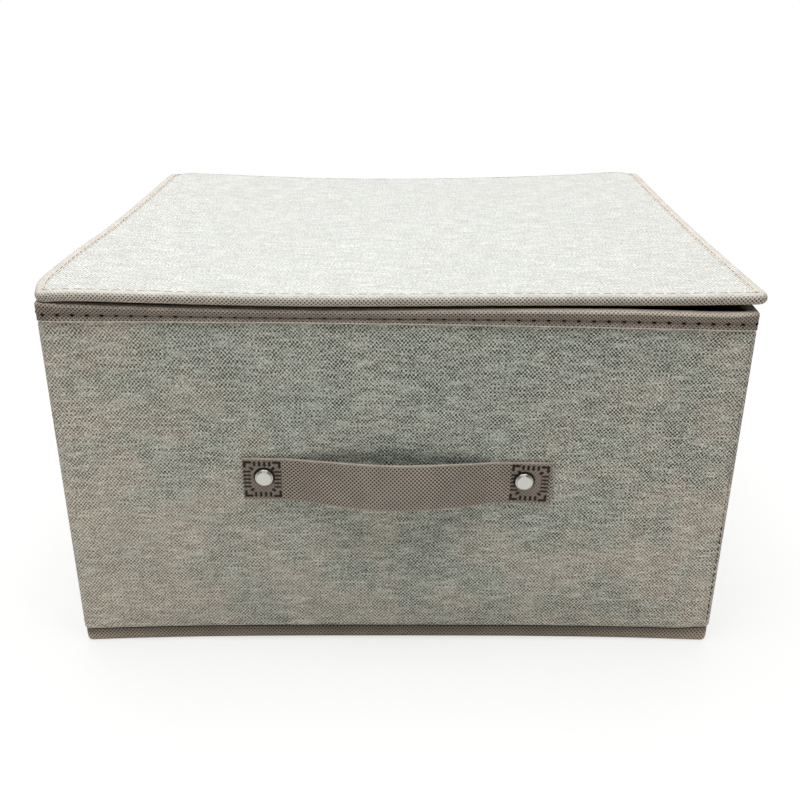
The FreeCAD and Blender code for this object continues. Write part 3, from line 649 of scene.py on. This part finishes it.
def coverProfile():
    # how far out and how high the cloth's points lie, from under the board, round its foot and up to the rim
    rise = np.linspace(cover["foot"] + 2.2, cover["top"], 66)
    return (np.append(cover["rollOut"], np.zeros(len(rise))),
            np.append(np.add(cover["rollUp"], cover["foot"]), rise))


def wallCover(name, node, toFront):
    # A panel carried round both corners: straight, quarter arc, short return. x and y come from this plan
    # path and its normals, z from the profile.
    half, deep, radius = box["halfWidth"], box["halfDepth"], cover["cornerRadius"]
    angle = np.radians(np.linspace(180.0, 270.0, 8))
    arcX, arcY = radius * np.cos(angle) - half + radius, radius * np.sin(angle) - deep + radius
    leftX = np.append(np.full(3, -half), arcX)
    leftY = np.append(np.linspace(-cover["returnEnd"], -deep + radius, 4)[:-1], arcY)
    middle = np.linspace(-half + radius, half - radius, 130)[1:-1]
    x = np.concatenate([leftX, middle, -leftX[::-1]])
    y = np.concatenate([leftY, np.full(len(middle), -deep), leftY[::-1]])
    nx, ny = np.gradient(x), np.gradient(y)
    long = np.hypot(nx, ny)
    nx, ny = ny / long, -nx / long
    run = lengthAlong(x, y)
    run = run - run[-1] / 2.0
    out, z = coverProfile()
    points = together(x[:, None] + nx[:, None] * out, y[:, None] + ny[:, None] * out, z)
    cloth = together(run[:, None], z + out)
    if not toFront:
        points = points * (-1.0, -1.0, 1.0)
        cloth = cloth + (523.0, 0.0)  # another stretch of the roll
    piece = gridMesh(name, settleWalls(points), cloth, facing=(0, -1 if toFront else 1, 0))
    thicken(piece, cover["thickness"])
    placePiece(piece, "box", "linen_cover", clothMaterial, node)


def sideCover(name, node, side):
    # A flat panel between the two covers' returns, finer at the crease and rolled round the board's foot.
    y = spread(-cover["returnEnd"] + 0.02, cover["returnEnd"] - 0.02, cover["step"], 0.8)
    y = np.sort(np.append(y[np.abs(y) > 4.0], np.linspace(-3.6, 3.6, 13)))
    out, z = coverProfile()
    points = together(side * (box["halfWidth"] + out), y[:, None], z)
    cloth = together(y[:, None] * side + 190.0 * side, z + out)
    piece = gridMesh(name, settleWalls(points), cloth, facing=(side, 0, 0))
    thicken(piece, cover["thickness"])
    placePiece(piece, "box", "linen_cover", clothMaterial, node)


def standingSheet(name, node, axis, facing, slot, material, step=5.0):
    # A wall layer: a grid on the node's outer face, across (x or y) and up (z), thickened inwards by the
    # node's own thickness.
    low, high = nodeSpan(node)
    wide = 1 - axis
    a, z = spread(low[wide], high[wide], step), spread(low[2], high[2], step)
    a, z = np.meshgrid(a, z, indexing="ij")
    face = high[axis] if facing > 0 else low[axis]
    points = np.zeros(a.shape + (3,))
    points[..., axis], points[..., wide], points[..., 2] = face, a, z
    direction = np.zeros(3)
    direction[axis] = facing
    piece = gridMesh(name, settleWalls(points), together(a, z), facing=direction)
    thicken(piece, high[axis] - low[axis])
    return placePiece(piece, "box", slot, material, node)


wallCover("frontCover", "front_cover", True)
wallCover("backCover", "back_cover", False)
sideCover("leftCover", "left_cover", -1)
sideCover("rightCover", "right_cover", 1)

boards = {
    "frontBoard": ("front_board", 1, -1), "backBoard": ("back_board", 1, 1),
    "leftFrontBoard": ("left_front_board", 0, -1), "leftRearBoard": ("left_rear_board", 0, -1),
    "rightFrontBoard": ("right_front_board", 0, 1), "rightRearBoard": ("right_rear_board", 0, 1),
}
for boardName, (node, axis, facing) in boards.items():
    standingSheet(boardName, node, axis, facing, "board", boardMaterial)

linings = {
    "frontLining": ("front_lining", 1, 1, "frontBoard"), "backLining": ("back_lining", 1, -1, "backBoard"),
    "leftLining": ("left_lining", 0, 1, "leftFrontBoard"),
    "rightLining": ("right_lining", 0, -1, "rightFrontBoard"),
}
for liningName, (node, axis, facing, behind) in linings.items():
    piece = standingSheet(liningName, node, axis, facing, "lining", liningMaterial)
    low, high = nodeSpan(node)

# the cloth under the box, a flat sheet whose front edge follows the front foot
low, high = nodeSpan("bottom_cover")
grid = plateGrid(low, high, 3.0, 5.0)
bottomCover = gridMesh("bottomCover", settleWalls(raised(grid, low[2]), reach=5.0), grid, facing=(0, 0, -1))
thicken(bottomCover, high[2] - low[2])
placePiece(bottomCover, "box", "lining", liningMaterial, "bottom_cover")
print("walls made")

rimTape = {
    "halfX": 175.8, "halfY": 150.8, "radius": 4.8, "width": 5.4, "thick": 0.8, "low": 190.0, "top": 200.0,
    "bend": 1.8, "stitchLevel": 193.8, "stitchPitch": 7.2, "pinch": 0.5,
    "bulge": 0.7, "bulgeFrom": (193.2, 4.2), "bulgeUpTo": (200.4, -2.2),
    "flare": 0.45, "flareUpTo": (192.6, -2.4),  # the lower edge stands off the wall
    "cornerFrom": 14.0, "cornerLength": 10.0,  # none of this round the corners
}


def foldedTape(name, path, inset, z, extra):
    # A closed section of insets and heights is carried round the path, where each point also moves in by
    # its own extra inset.
    plan = alongPath(path, inset + extra[0]) - path["outward"][:, None] * (extra - extra[0])[..., None]
    cloth = lengthAlong(inset, z)
    cloth = together(path["run"][:, None], np.append(cloth, cloth[-1] + 0.8))
    return gridMesh(name, settleWalls(raised(plan, z)), cloth, wrapRows=True, wrapColumns=True)


def rimBinding():
    # A tape folded over the wall: outer face up, half round over the top, inner face down, and back up
    # inside by its own thickness. It swells between stitches and is pulled in at each needle hole.
    t = rimTape
    path = rectanglePath(t["halfX"], t["halfY"], t["radius"], 1.8)
    width, thick, low, top = t["width"], t["thick"], t["low"], t["top"]
    outZ = low + np.array([0.0, 0.5, 1.1, 1.7, 2.3, 2.8, 3.2, 3.6, 4.1, 4.7, 5.4, 6.2, 7.0, 7.7])
    arc = np.radians(np.linspace(0.0, 90.0, 6))
    bend = t["bend"]
    outIn = np.concatenate([np.zeros(len(outZ)), bend - bend * np.cos(arc)])
    outUp = np.concatenate([outZ, top - bend + bend * np.sin(arc)])
    halfIn = np.concatenate([outIn, width - outIn[::-1]])
    halfUp = np.concatenate([outUp, outUp[::-1]])
    innerIn = np.array([width - thick, width - thick, width - thick - 0.3, thick + 0.3, thick, thick])
    innerUp = np.array([low, top - 2.0, top - thick - 0.2, top - thick - 0.2, top - 2.0, low])
    inset, z = np.append(halfIn, innerIn), np.append(halfUp, innerUp)
    run = path["run"][:-1]
    swell = t["bulge"] * onset(z, t["bulgeFrom"]) * onset(z, t["bulgeUpTo"])
    hole = 0.6 + 0.4 * np.cos(np.pi * run / t["stitchPitch"]) ** 8
    pinch = t["pinch"] * np.exp(-(((z - t["stitchLevel"]) / 1.0) ** 2))
    flare = (t["flare"] + 0.14 * np.sin(run / 11.0)[:, None]) * onset(z, t["flareUpTo"])
    face = np.concatenate([np.ones(len(outIn)), -np.ones(len(outIn)), np.zeros(len(innerIn))])
    corner = np.abs(path["centres"] + path["outward"] * t["radius"]) - (t["halfX"], t["halfY"]) + t["cornerFrom"]
    straight = 1.0 - ease(corner.min(axis=1) / t["cornerLength"])[:, None]
    extra = face * (straight * (hole[:, None] * pinch - flare) - (0.1 + 0.9 * straight) * swell)
    piece = foldedTape("rimBinding", path, inset, z, extra)
    placePiece(piece, "box", "binding_tape", tapeMaterial, "rim_binding")
    return path


rimPath = rimBinding()

baseTape = {
    "halfX": 174.5, "halfY": 149.5, "radius": 4.0, "outer": 8,  # so many of the section's points lie outside
    "inset": (0.1, 0.0, -0.12, -0.14, -0.05, 0.2, 0.6, 1.1, 1.7, 2.2, 2.6, 2.85, 2.8, 2.8, 2.8,
              2.0, 2.0, 1.9, 1.4, 0.9, 0.8, 0.8),
    "level": (7.2, 6.0, 4.6, 3.2, 2.0, 1.0, 0.4, 0.08, 0.08, 0.4, 1.0, 2.0, 3.4, 5.2, 7.2,
              7.2, 3.0, 1.5, 0.95, 1.5, 3.0, 7.2),
}


def baseBinding():
    # The same tape folded upwards round the seam: down the outside, round the underside, up the inside.
    t = baseTape
    path = rectanglePath(t["halfX"], t["halfY"], t["radius"], 2.6)
    inset, z, run = np.array(t["inset"]), np.array(t["level"]), path["run"][:-1]
    ripple = 0.14 * np.sin(run / 9.0) + 0.1 * np.sin(run / 3.7 + 1.0)
    outer = (np.arange(len(z)) < t["outer"]) * ease(z / 2.0)
    piece = foldedTape("baseBinding", path, inset, z, ripple[:, None] * outer)
    placePiece(piece, "box", "binding_tape", footTapeMaterial, "base_binding")


baseBinding()

# the turned-down edges of the covers and the bottom cloth, sewn together inside the base tape
seamLow, seamHigh = nodeSpan("base_seam_allowance")
seamPath = rectanglePath(seamHigh[0], seamHigh[1], 4.2, 5.0)
seamZ = spread(seamLow[2], seamHigh[2], 1.6, 0.3)
seamPoints = settleWalls(raised(alongPath(seamPath, np.zeros(len(seamZ))), seamZ))
seamAllowance = gridMesh("seamAllowance", seamPoints, together(seamPath["run"][:, None], seamZ), wrapRows=True)
thicken(seamAllowance, 1.2)
placePiece(seamAllowance, "box", "lining", liningMaterial, "base_seam_allowance")
print("bindings made")

lid = {"halfX": 178.0, "halfY": 153.0, "back": 144.0, "radius": 5.6, "flange": 6.0, "thick": 0.8,
       "low": 200.4, "top": 205.8, "roll": 2.2, "stitchPitch": 6.2, "stitchInset": 5.2, "pinch": 0.24}


def lidPlate(name, node, facing, slot, material, radius=4.4, step=4.0):
    # a layer of the lid: its face that looks up or down, thickened by the node's own thickness
    low, high = nodeSpan(node)
    grid = plateGrid(low, high, radius, step)
    points = raised(grid, high[2] if facing > 0 else low[2])
    piece = gridMesh(name, settleLid(points), grid + (0.0, 300.0), facing=(0, 0, facing))
    thicken(piece, high[2] - low[2])
    return placePiece(piece, "lid", slot, material, node)


lidCover = lidPlate("lidCover", "lid_cover", 1, "linen_cover", lidClothMaterial, 4.6, 3.0)
lidPlate("lidBoard", "lid_board", 1, "board", boardMaterial)
lidLining = lidPlate("lidLining", "lid_lining", -1, "lining", liningMaterial)


def lidBinding():
    # A tape rolled round the lid's edge, like a C in section: top flange, soft round edge, under flange and
    # back inside by its thickness. The front corners are mitred.
    t = lid
    path = rectanglePath(t["halfX"], t["halfY"], t["radius"], 1.7, openBack=t["back"])
    flange, thick, low, top = t["flange"], t["thick"], t["low"], t["top"]
    arc = np.radians(np.linspace(90.0, -90.0, 15))
    half = 0.5 * (top - low)
    roll = t["roll"]
    edgeIn = roll - roll * np.cos(arc)
    edgeUp = 0.5 * (top + low) + half * np.sin(arc)
    flat = np.array([flange, flange - 0.5, flange - 1.4, flange - 2.4, flange - 3.2])
    inset = np.concatenate([
        flat, edgeIn, flat[::-1], [flange, roll + 0.4, thick + 0.5, thick, thick + 0.5, roll + 0.4, flange]])
    fall = np.array([0.55, 0.38, 0.2, 0.08, 0.0])
    z = np.concatenate([top - fall, edgeUp, low + fall[::-1],
                        [low + thick, low + thick, low + thick + 0.5, 0.5 * (low + top), top - thick - 0.5,
                         top - thick, top - thick]])
    cloth = lengthAlong(inset, z)
    run = path["run"][:-1]
    hole = 0.4 + 0.6 * np.cos(np.pi * run / t["stitchPitch"]) ** 8
    sink = t["pinch"] * np.exp(-(((inset - t["stitchInset"]) / 0.9) ** 2)) * hole[:, None]
    upper = np.concatenate([np.ones(5), np.clip(np.sin(arc) * 2.0, -1.0, 1.0), -np.ones(5), np.zeros(7)])
    ripple = 0.12 * np.sin(run / 8.0)[:, None] * ease((1.5 - np.abs(inset - 5.0)) / 1.5)
    points = raised(alongPath(path, inset), z + (ripple - sink) * upper)
    cloth = together(run[:, None], np.append(cloth, cloth[-1] + 0.8))
    piece = gridMesh("lidBinding", settleLid(points), cloth, wrapColumns=True, caps=True)
    placePiece(piece, "lid", "binding_tape", lidTapeMaterial, "lid_binding")
    return path


lidPath = lidBinding()

hinge = {"boxHalfX": 175.5, "lidHalfX": 173.0, "thick": 0.75}


def hingeCloth():
    # One strip of the cover's cloth: up the back wall, over the rim tape and on to the lid. The rows that
    # lie on the wall follow the settled wall and the rows on the lid the settled lid; the hinge line is between two
    # rows.
    wallY = np.array([150.85, 150.85, 150.9, 151.0, 151.3, 151.6, 151.6, 151.6, 151.6])
    wallZ = np.array([174.0, 175.0, 180.0, 187.0, 189.4, 191.4, 194.5, 197.5, 199.8])
    lidY = np.array([149.6, 149.2, 148.5, 147.6, 146.9])
    lidZ = np.array([204.35, 204.75, 204.95, 205.05, 205.05])
    x = spread(-1.0, 1.0, 4.0 / box["halfWidth"], 0.004)
    wallX = np.full(len(wallY), hinge["boxHalfX"])
    lidX = np.linspace(hinge["boxHalfX"] - 0.6, hinge["lidHalfX"], len(lidY))
    points = np.concatenate([settleWalls(together(x[:, None] * wallX, wallY, wallZ)),
                             settleLid(together(x[:, None] * lidX, lidY, lidZ))], 1)
    drop = lengthAlong(np.append(wallY, lidY), np.append(wallZ, lidZ))
    cloth = together(x[:, None] * box["halfWidth"], 447.0 + drop[-1] - drop)  # further up the roll than the wall
    piece = gridMesh("hingeCloth", points, cloth, facing=(0, 1, 0.3))
    thicken(piece, hinge["thick"], even=False)
    piece.data.materials.append(clothMaterial)
    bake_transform(piece)
    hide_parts("hinge_cloth")


hingeCloth()
print("lid made")

# x of the strap's ends and of where it leaves the wall, its bow, the bow's tilt in degrees, and its height
strap = {
    "left": -79.4, "right": 80.6, "liftLeft": -59.0, "liftRight": 57.0, "width": 25.0, "thick": 1.8,
    "bow": 9.5, "raise": 1.1, "tilt": 11.0, "levelLeft": 104.1, "levelRight": 101.8, "wall": 150.05,
    "edge": 0.55, "patchHalfX": 9.9, "patchHalfZ": 11.2, "patches": ((-69.3, 0.0), (69.2, -2.5)),
    # rivetShadowRing: the radius of the ring round each rivet cap that is pressed in and painted as the cap's shadow
    "melt": 0.15, "press": 0.35, "rivetShadowRing": 6.1,
}
rivet = {"left": (-68.3, 105.4), "right": (66.4, 103.4), "steps": 40, "around": 30.5}


def weldMarks(x, z):
    # The welding plate's pattern in mm from the patch's middle: a bracket in each corner, short bars
    # pointing in from each side, and slanting dashes towards the rivet. 1 where pressed, 0 elsewhere.
    def bar(cx, cz, halfX, halfZ, turn=0.0):
        a = (x - cx) * math.cos(turn) + (z - cz) * math.sin(turn)
        b = (z - cz) * math.cos(turn) - (x - cx) * math.sin(turn)
        return ease((halfX + 0.22 - np.abs(a)) / 0.44) * ease((halfZ + 0.22 - np.abs(b)) / 0.44)

    marks = []
    for sx, sz in ((-1, -1), (-1, 1), (1, -1), (1, 1)):
        marks += [bar(sx * 7.5, sz * 10.1, 2.1, 0.72), bar(sx * 9.0, sz * 8.8, 0.72, 2.0),
                  bar(sx * 5.6, sz * 6.4, 1.15, 0.75, sx * sz * math.radians(40.0))]
    for sign in (-1, 1):
        marks += [bar(-3.9 + 2.6 * k, sign * 9.2, 0.66, 1.45) for k in range(4)]
        marks += [bar(sign * 7.9, -4.5 + 2.25 * k, 2.0, 0.55) for k in range(5)]
    return np.max(marks, axis=0)


def strapHandle():
    # A flat strap, section 25 x 1.8 mm with rounded edges, carried along a line that is flat under each
    # rivet and bows out between them as bow * sin^2. The front face of both ends has the welded pattern.
    s = strap
    x = np.unique(np.concatenate([
        np.linspace(s["left"], s["liftLeft"] + 2.0, 66), np.linspace(s["liftLeft"] + 2.0, s["liftRight"] - 2.0, 90),
        np.linspace(s["liftRight"] - 2.0, s["right"], 76)]))
    share = np.clip((x - s["liftLeft"]) / (s["liftRight"] - s["liftLeft"]), 0.0, 1.0)
    lift = np.sin(np.pi * share) ** 1.35 * ease(share / 0.12) * ease((1.0 - share) / 0.12)
    back = s["wall"] + s["bow"] * lift
    end = (x - s["left"]) / (s["right"] - s["left"])
    level = between(end, s["levelLeft"], s["levelRight"]) + s["raise"] * lift
    slope = np.gradient(back, x)
    long = np.hypot(1.0, slope)
    half, thick, edge = 0.5 * s["width"], s["thick"], s["edge"]
    arc = np.radians(np.linspace(0.0, 90.0, 5))
    frontV = np.linspace(-half + edge, half - edge, 73)
    topV = half - edge + edge * np.sin(arc[1:])
    topB = thick - edge + edge * np.cos(arc[1:])
    backV = np.linspace(half - edge, -half + edge, 14)
    v = np.concatenate([frontV, topV, [half - 0.2], backV, [-half + 0.2], -topV[::-1]])
    b = np.concatenate([np.full(len(frontV), thick), topB, [0.25], np.zeros(14), [0.25], topB[::-1]])
    gx, gv = np.meshgrid(x, v, indexing="ij")
    melted, pressedAndShaded = np.zeros(gx.shape), np.zeros(gx.shape)
    onFront = np.arange(len(v)) < len(frontV)
    for (centre, turn), (rivetX, rivetZ) in zip(s["patches"], (rivet["left"], rivet["right"])):
        turn = math.radians(turn)
        a = (gx - centre) * math.cos(turn) + gv * math.sin(turn)
        c = gv * math.cos(turn) - (gx - centre) * math.sin(turn)
        patch = ease((s["patchHalfX"] + 0.3 - np.abs(a)) / 0.6) * ease((s["patchHalfZ"] + 0.3 - np.abs(c)) / 0.6)
        melted = np.maximum(melted, patch * onFront)
        pressedAndShaded = np.maximum(pressedAndShaded, weldMarks(a, c) * patch * onFront)
        # a ring round each rivet cap is pressed in and painted near black as the cap's shadow
        away = np.hypot(gx - rivetX, level[:, None] + gv - rivetZ)
        pressedAndShaded = np.maximum(pressedAndShaded, ease((s["rivetShadowRing"] - away) / 0.9) * onFront)
    depth = b - s["melt"] * melted - s["press"] * pressedAndShaded
    y = -(back[:, None] + depth / long[:, None])
    px = gx + depth * (slope / long)[:, None]
    # the bowed part leans: its lower edge stands further out than its upper one
    lean = np.radians(s["tilt"]) * ease(lift)
    y = y + gv * np.sin(lean)[:, None]
    gv = gv * np.cos(lean)[:, None]
    points = together(px, y, level[:, None] + gv)
    cloth = together(lengthAlong(x, back)[:, None], np.append(v, v[-1] + 0.3))
    piece = gridMesh("strapHandle", settleWalls(points), cloth, wrapColumns=True, caps=True)
    for word, values in (("melted", melted), ("pressedAndShaded", pressedAndShaded)):
        attribute = piece.data.attributes.new(word, "FLOAT", "POINT")
        attribute.data.foreach_set("value", values.astype(np.float32).ravel())
    placePiece(piece, "box", "strap_webbing", strapMaterial, "handle_strap")


strapHandle()


def rivetPair(name, node, profile, wall, towards):
    # Both rivets' caps as one piece: a profile of radius and height, turned round each rivet's axis and seated
    # where the settled wall lies.
    radius, height = np.transpose(profile)
    turn = np.linspace(0.0, 2.0 * np.pi, rivet["steps"] + 1)[:-1, None]
    cloth = together(np.linspace(0.0, rivet["around"], rivet["steps"] + 1)[:, None], lengthAlong(radius, height))
    pieces = []
    for x, z in (rivet["left"], rivet["right"]):
        seat = settleWalls(np.array([x, -box["halfDepth"], z]))
        points = together(seat[0] + radius * np.cos(turn), wall + seat[1] + box["halfDepth"] + towards * height,
                          seat[2] + radius * np.sin(turn))
        pieces.append(gridMesh(name, points, cloth, wrapRows=True))
    joinMeshes(*pieces)
    placePiece(pieces[0], "box", "rivet_metal", metalMaterial, node)


frontCap = [
    (0.0, 2.2), (2.2, 2.2), (3.7, 2.19), (3.86, 2.13), (3.93, 2.0), (3.97, 1.72), (4.04, 1.55), (4.14, 1.5),
    (4.24, 1.56), (4.36, 1.64), (4.5, 1.6), (4.66, 1.42), (4.78, 1.15), (4.85, 0.75), (4.8, 0.3), (4.6, 0.02),
    (4.2, 0.0), (1.55, 0.0), (1.5, -0.1), (1.5, -5.2), (1.3, -5.4), (0.0, -5.4)]
backCap = [
    (0.0, 1.6), (2.6, 1.6), (3.6, 1.5), (4.2, 1.15), (4.45, 0.7), (4.5, 0.3), (4.4, 0.03), (2.2, 0.0), (1.7, 0.0),
    (0.0, 0.0)]
rivetPair("rivetFrontCaps", "rivet_front_caps", frontCap, -151.62, -1)
rivetPair("rivetBackCaps", "rivet_back_caps", backCap, -146.1, 1)
print("handle made")


insert = {"edge": 1.7, "step": 4.5, "sink": 0.12, "wrinkle": 0.096}


def insertCover():
    # A sleeve pulled over the board: two grids that meet at the rim, where the height falls to 0 as a
    # quarter circle of the distance from the edge.
    low, high = nodeSpan("base_insert_cover")
    extra = np.array([0.25, 0.7, 1.2])  # finer where the sleeve turns round the board's edge
    lines = (np.unique(np.concatenate([spread(low[k], high[k], insert["step"]), low[k] + extra, high[k] - extra]))
             for k in (0, 1))
    x, y = np.meshgrid(*lines, indexing="ij")
    gap = np.minimum(np.minimum(x - low[0], high[0] - x), np.minimum(y - low[1], high[1] - y))
    near = np.clip(1.0 - gap / insert["edge"], 0.0, 1.0)
    half = 0.5 * (high[2] - low[2]) * np.sqrt(1.0 - near**2)
    centre = 0.5 * (high[2] + low[2])
    wrinkle = insert["wrinkle"] * np.sin(x / 19.0 + 0.3) * np.sin(y / 23.0) * ease(gap / 12.0)
    upper = together(x, y, centre + half - insert["sink"] * ease(gap / 6.0) + wrinkle)
    top = gridMesh("insertCover", upper, together(x, y), facing=(0, 0, 1))
    joinMeshes(top, gridMesh("insertUnder", together(x, y, centre - half), together(x, y), facing=(0, 0, -1)))
    placePiece(top, "base_insert", "lining", liningMaterial, "base_insert_cover")


insertCover()
insertBoard = bpy.data.objects["base_insert_board"]  # the CAD solid shows as it is
insertBoard.data.materials.clear()
insertBoard.data.materials.append(boardMaterial)
print("base insert made")

def stitchRow(name, body, material, centres, along, outward, length, radius):
    # Each stitch is a flat-bellied thread of five rings: the ring radius swells from the needle hole to the
    # middle and the ends dip below the cloth.
    t = np.array([-1.0, -0.72, 0.0, 0.72, 1.0])
    turn = np.linspace(0.0, 2.0 * np.pi, 7)[:-1]
    along, outward = (np.broadcast_to(way, centres.shape)[:, None, None] for way in (along, outward))
    ring = radius * np.array([0.35, 0.85, 1.0, 0.85, 0.35])[:, None, None]
    lift = ring * np.sin(turn)[:, None] * 0.8 + (0.55 * radius - 1.5 * radius * t**4)[:, None, None]
    thread = centres[:, None, None] + along * (t * length / 2)[:, None, None]
    thread = thread + np.cross(along, outward) * ring * np.cos(turn)[:, None] + outward * lift
    thread = settleLid(thread) if body == "lid" else settleWalls(thread)
    count, rings, around = thread.shape[:3]
    base = (np.arange(count) * rings * around)[:, None, None]
    i, j = np.meshgrid(np.arange(rings - 1) * around, np.arange(around), indexing="ij")
    j2 = (j + 1) % around
    quads = together(i + j, i + around + j, i + around + j2, i + j2).reshape(-1, 4)[:, ::-1]
    ends = np.stack([np.arange(around)[::-1], (rings - 1) * around + np.arange(around)])[:, ::-1]
    faces = (base + quads).reshape(-1, 4).tolist() + (base + ends).reshape(-1, around).tolist()
    mesh = bpy.data.meshes.new(name)
    mesh.from_pydata((thread.reshape(-1, 3) * metres).tolist(), [], faces)
    index = np.zeros(len(mesh.loops), np.int32)
    mesh.loops.foreach_get("vertex_index", index)
    uv = together(t[(index // around) % rings] * length / 2, (index % around) * 0.3)
    mesh.uv_layers.new(name="Cloth").data.foreach_set("uv", uv.astype(np.float32).ravel())
    mesh.shade_smooth()
    work = bmesh.new()
    work.from_mesh(mesh)
    bmesh.ops.recalc_face_normals(work, faces=work.faces)
    work.to_mesh(mesh)
    work.free()
    piece = bpy.data.objects.new(name, mesh)
    bpy.context.scene.collection.objects.link(piece)
    placePiece(piece, body, "binding_tape", material)


def onPath(path, inset, pitch, first, height):
    # places every pitch mm along a path: the point, the direction of the run and the outward direction
    plan = alongPath(path, np.array([inset]))[:, 0].T
    run = path["run"][:-1]
    place = np.arange(first, run[-1] - 1.0, pitch)
    x, y = (np.interp(place, run, line) for line in plan)
    aheadX, aheadY = (np.interp(place + 0.4, run, line) for line in plan)
    along = together(aheadX - x, aheadY - y, 0.0)
    along = along / np.maximum(np.linalg.norm(along, axis=1, keepdims=True), 1e-6)
    return together(x, y, height), along, np.cross(along, (0.0, 0.0, 1.0))


level, pitch = rimTape["stitchLevel"], rimTape["stitchPitch"]
stitchRow("rimStitches", "box", threadMaterial, *onPath(rimPath, 0.36, pitch, pitch / 2.0, level), length=5.4,
          radius=0.24)
# dark capsules in the needle holes: painted shade
stitchRow("rimNeedleHoles", "box", holeShadeMaterial, *onPath(rimPath, 0.08, pitch, 0.0, level), length=1.9, radius=0.6)
pitch = lid["stitchPitch"]
for name, height, up in (("lidStitchesTop", lid["top"] - 0.2, 1), ("lidStitchesUnder", lid["low"] + 0.2, -1)):
    centres, along = onPath(lidPath, lid["stitchInset"], pitch, pitch / 2.0, height)[:2]
    stitchRow(name, "lid", lidThreadMaterial, centres, along, (0, 0, up), length=4.6, radius=0.2)
# the lower corner stitches are drawn in the needle holes' painted shade
for name, low, high, radius, material in (("cornerStitchesLow", 13.0, 74.0, 0.26, holeShadeMaterial),
                                          ("cornerStitchesHigh", 77.5, 188.0, 0.2, threadMaterial)):
    centres = together(172.2, -149.98, np.arange(low, high, 4.3))
    stitchRow(name, "box", material, centres, (0, 0, 1), (0, -1, 0), length=2.6, radius=radius)
for name, level in (("hemStitchesLow", 175.6), ("hemStitchesHigh", 184.5)):
    centres = together(np.arange(-171.0, 172.0, pitch), 150.9, level)
    stitchRow(name, "box", threadMaterial, centres, (1, 0, 0), (0, 1, 0), length=3.6, radius=0.27)
print("sewing made")

stage = {"size": 30.0, "floor": "#F4F4F2", "bounce": "#F1EEE8", "veil": 0.72, "near": 0.24, "far": 0.7,
         "world": 0.06}


def studioFloor(add):
    # A pale sweep: white to the camera and in reflections, a softer grey for the light that it sends back.
    path = add("LightPath")
    seen = add("Math.MAXIMUM", (path.outputs["Is Camera Ray"], path.outputs["Is Glossy Ray"]))
    seen = add("Math.MAXIMUM", (seen, path.outputs["Is Transmission Ray"]))
    paint = add("BsdfDiffuse", {"Color": add("Mix.RGBA", {0: seen, 6: stage["bounce"], 7: stage["floor"]})})
    # the sweep turns pure white with the distance from the object, so that no edge of the floor shows
    away = add("VectorMath.LENGTH", (add("TexCoord").outputs["Object"],)).outputs["Value"]
    white = add("MapRange.SMOOTHSTEP", (away, stage["near"], stage["far"], stage["veil"], 1.0))
    glow = add("Emission", {"Color": "#FFFFFF", "Strength": 1.0})
    return add("MixShader", (add("Math.MULTIPLY", (seen, white)), paint, glow))


half = stage["size"] / 2 / metres
corner = np.array([[[-half, -half, 0.0], [-half, half, 0.0]], [[half, -half, 0.0], [half, half, 0.0]]])
floor = gridMesh("floor", corner - np.array([0.0, 0.0, 0.05]), corner[..., :2], facing=(0, 0, 1))
floor.data.materials.append(newMaterial("pale studio floor", studioFloor))

world = bpy.data.worlds.new("studio")
bpy.context.scene.world = world
world.use_nodes = True
world.node_tree.nodes.clear()
add = partial(addNode, world.node_tree)
path = add("LightPath")
seen = add("Math.MAXIMUM", (path.outputs["Is Camera Ray"], path.outputs["Is Transmission Ray"]))
strength = add("MapRange", (seen, 0.0, 1.0, stage["world"], 1.0))
add("OutputWorld", (add("Background", {"Color": "#FFFFFF", "Strength": strength}),))

lamps = {
    "overhead": {"at": (-40.0, 0.0, 1350.0), "aim": (0.0, 0.0, 150.0), "size": 1500.0, "power": 34.0},
    "fill": {"at": (-500.0, -1700.0, 700.0), "aim": (0.0, -100.0, 100.0), "size": 1200.0, "power": 1.0},
}


def lookAlong(forward, right, down, place):
    # the matrix of an eye or a lamp at place that looks along forward
    return Matrix([[right[i], -down[i], -forward[i], place[i] * metres] for i in range(3)] + [[0, 0, 0, 1]])


for name, values in lamps.items():
    data = bpy.data.lights.new(name, "AREA")
    data.shape, data.size, data.energy = "SQUARE", values["size"] * metres, values["power"]
    data.color = (1.0, 0.995, 0.985)
    forward = np.subtract(values["aim"], values["at"])
    right = np.cross(forward, (0.0, 0.0, 1.0))
    forward, right = forward / np.linalg.norm(forward), right / np.linalg.norm(right)
    lamp = bpy.data.objects.new(name, data)
    lamp.matrix_world = lookAlong(forward, right, np.cross(forward, right), values["at"])
    bpy.context.scene.collection.objects.link(lamp)

camera = {"at": (3.24, -589.79, 348.05), "pitch": 24.28, "yaw": -0.18, "roll": -0.07, "focal": 962.5,
          "image": 800.0}


def makeCamera():
    # Looks along yaw and pitch; right and up are turned by roll. The focal length is in pixels of the image.
    c = camera
    pitch, yaw, roll = (math.radians(c[word]) for word in ("pitch", "yaw", "roll"))
    forward = np.array([math.sin(yaw) * math.cos(pitch), math.cos(yaw) * math.cos(pitch), -math.sin(pitch)])
    right = np.array([math.cos(yaw), -math.sin(yaw), 0.0])
    down = np.cross(forward, right)
    right, down = (math.cos(roll) * right + math.sin(roll) * down,
                   math.cos(roll) * down - math.sin(roll) * right)
    data = bpy.data.cameras.new("camera")
    data.sensor_width, data.sensor_fit = 36.0, "HORIZONTAL"
    data.lens = 36.0 * c["focal"] / c["image"]
    data.clip_start, data.clip_end = 0.01, 50.0
    eye = bpy.data.objects.new("camera", data)
    eye.matrix_world = lookAlong(forward, right, down, c["at"])
    bpy.context.scene.collection.objects.link(eye)
    bpy.context.scene.camera = eye


makeCamera()
bpy.context.scene.view_settings.view_transform = "Standard"
print("stage, lamps and camera made")

bpy.context.view_layer.update()
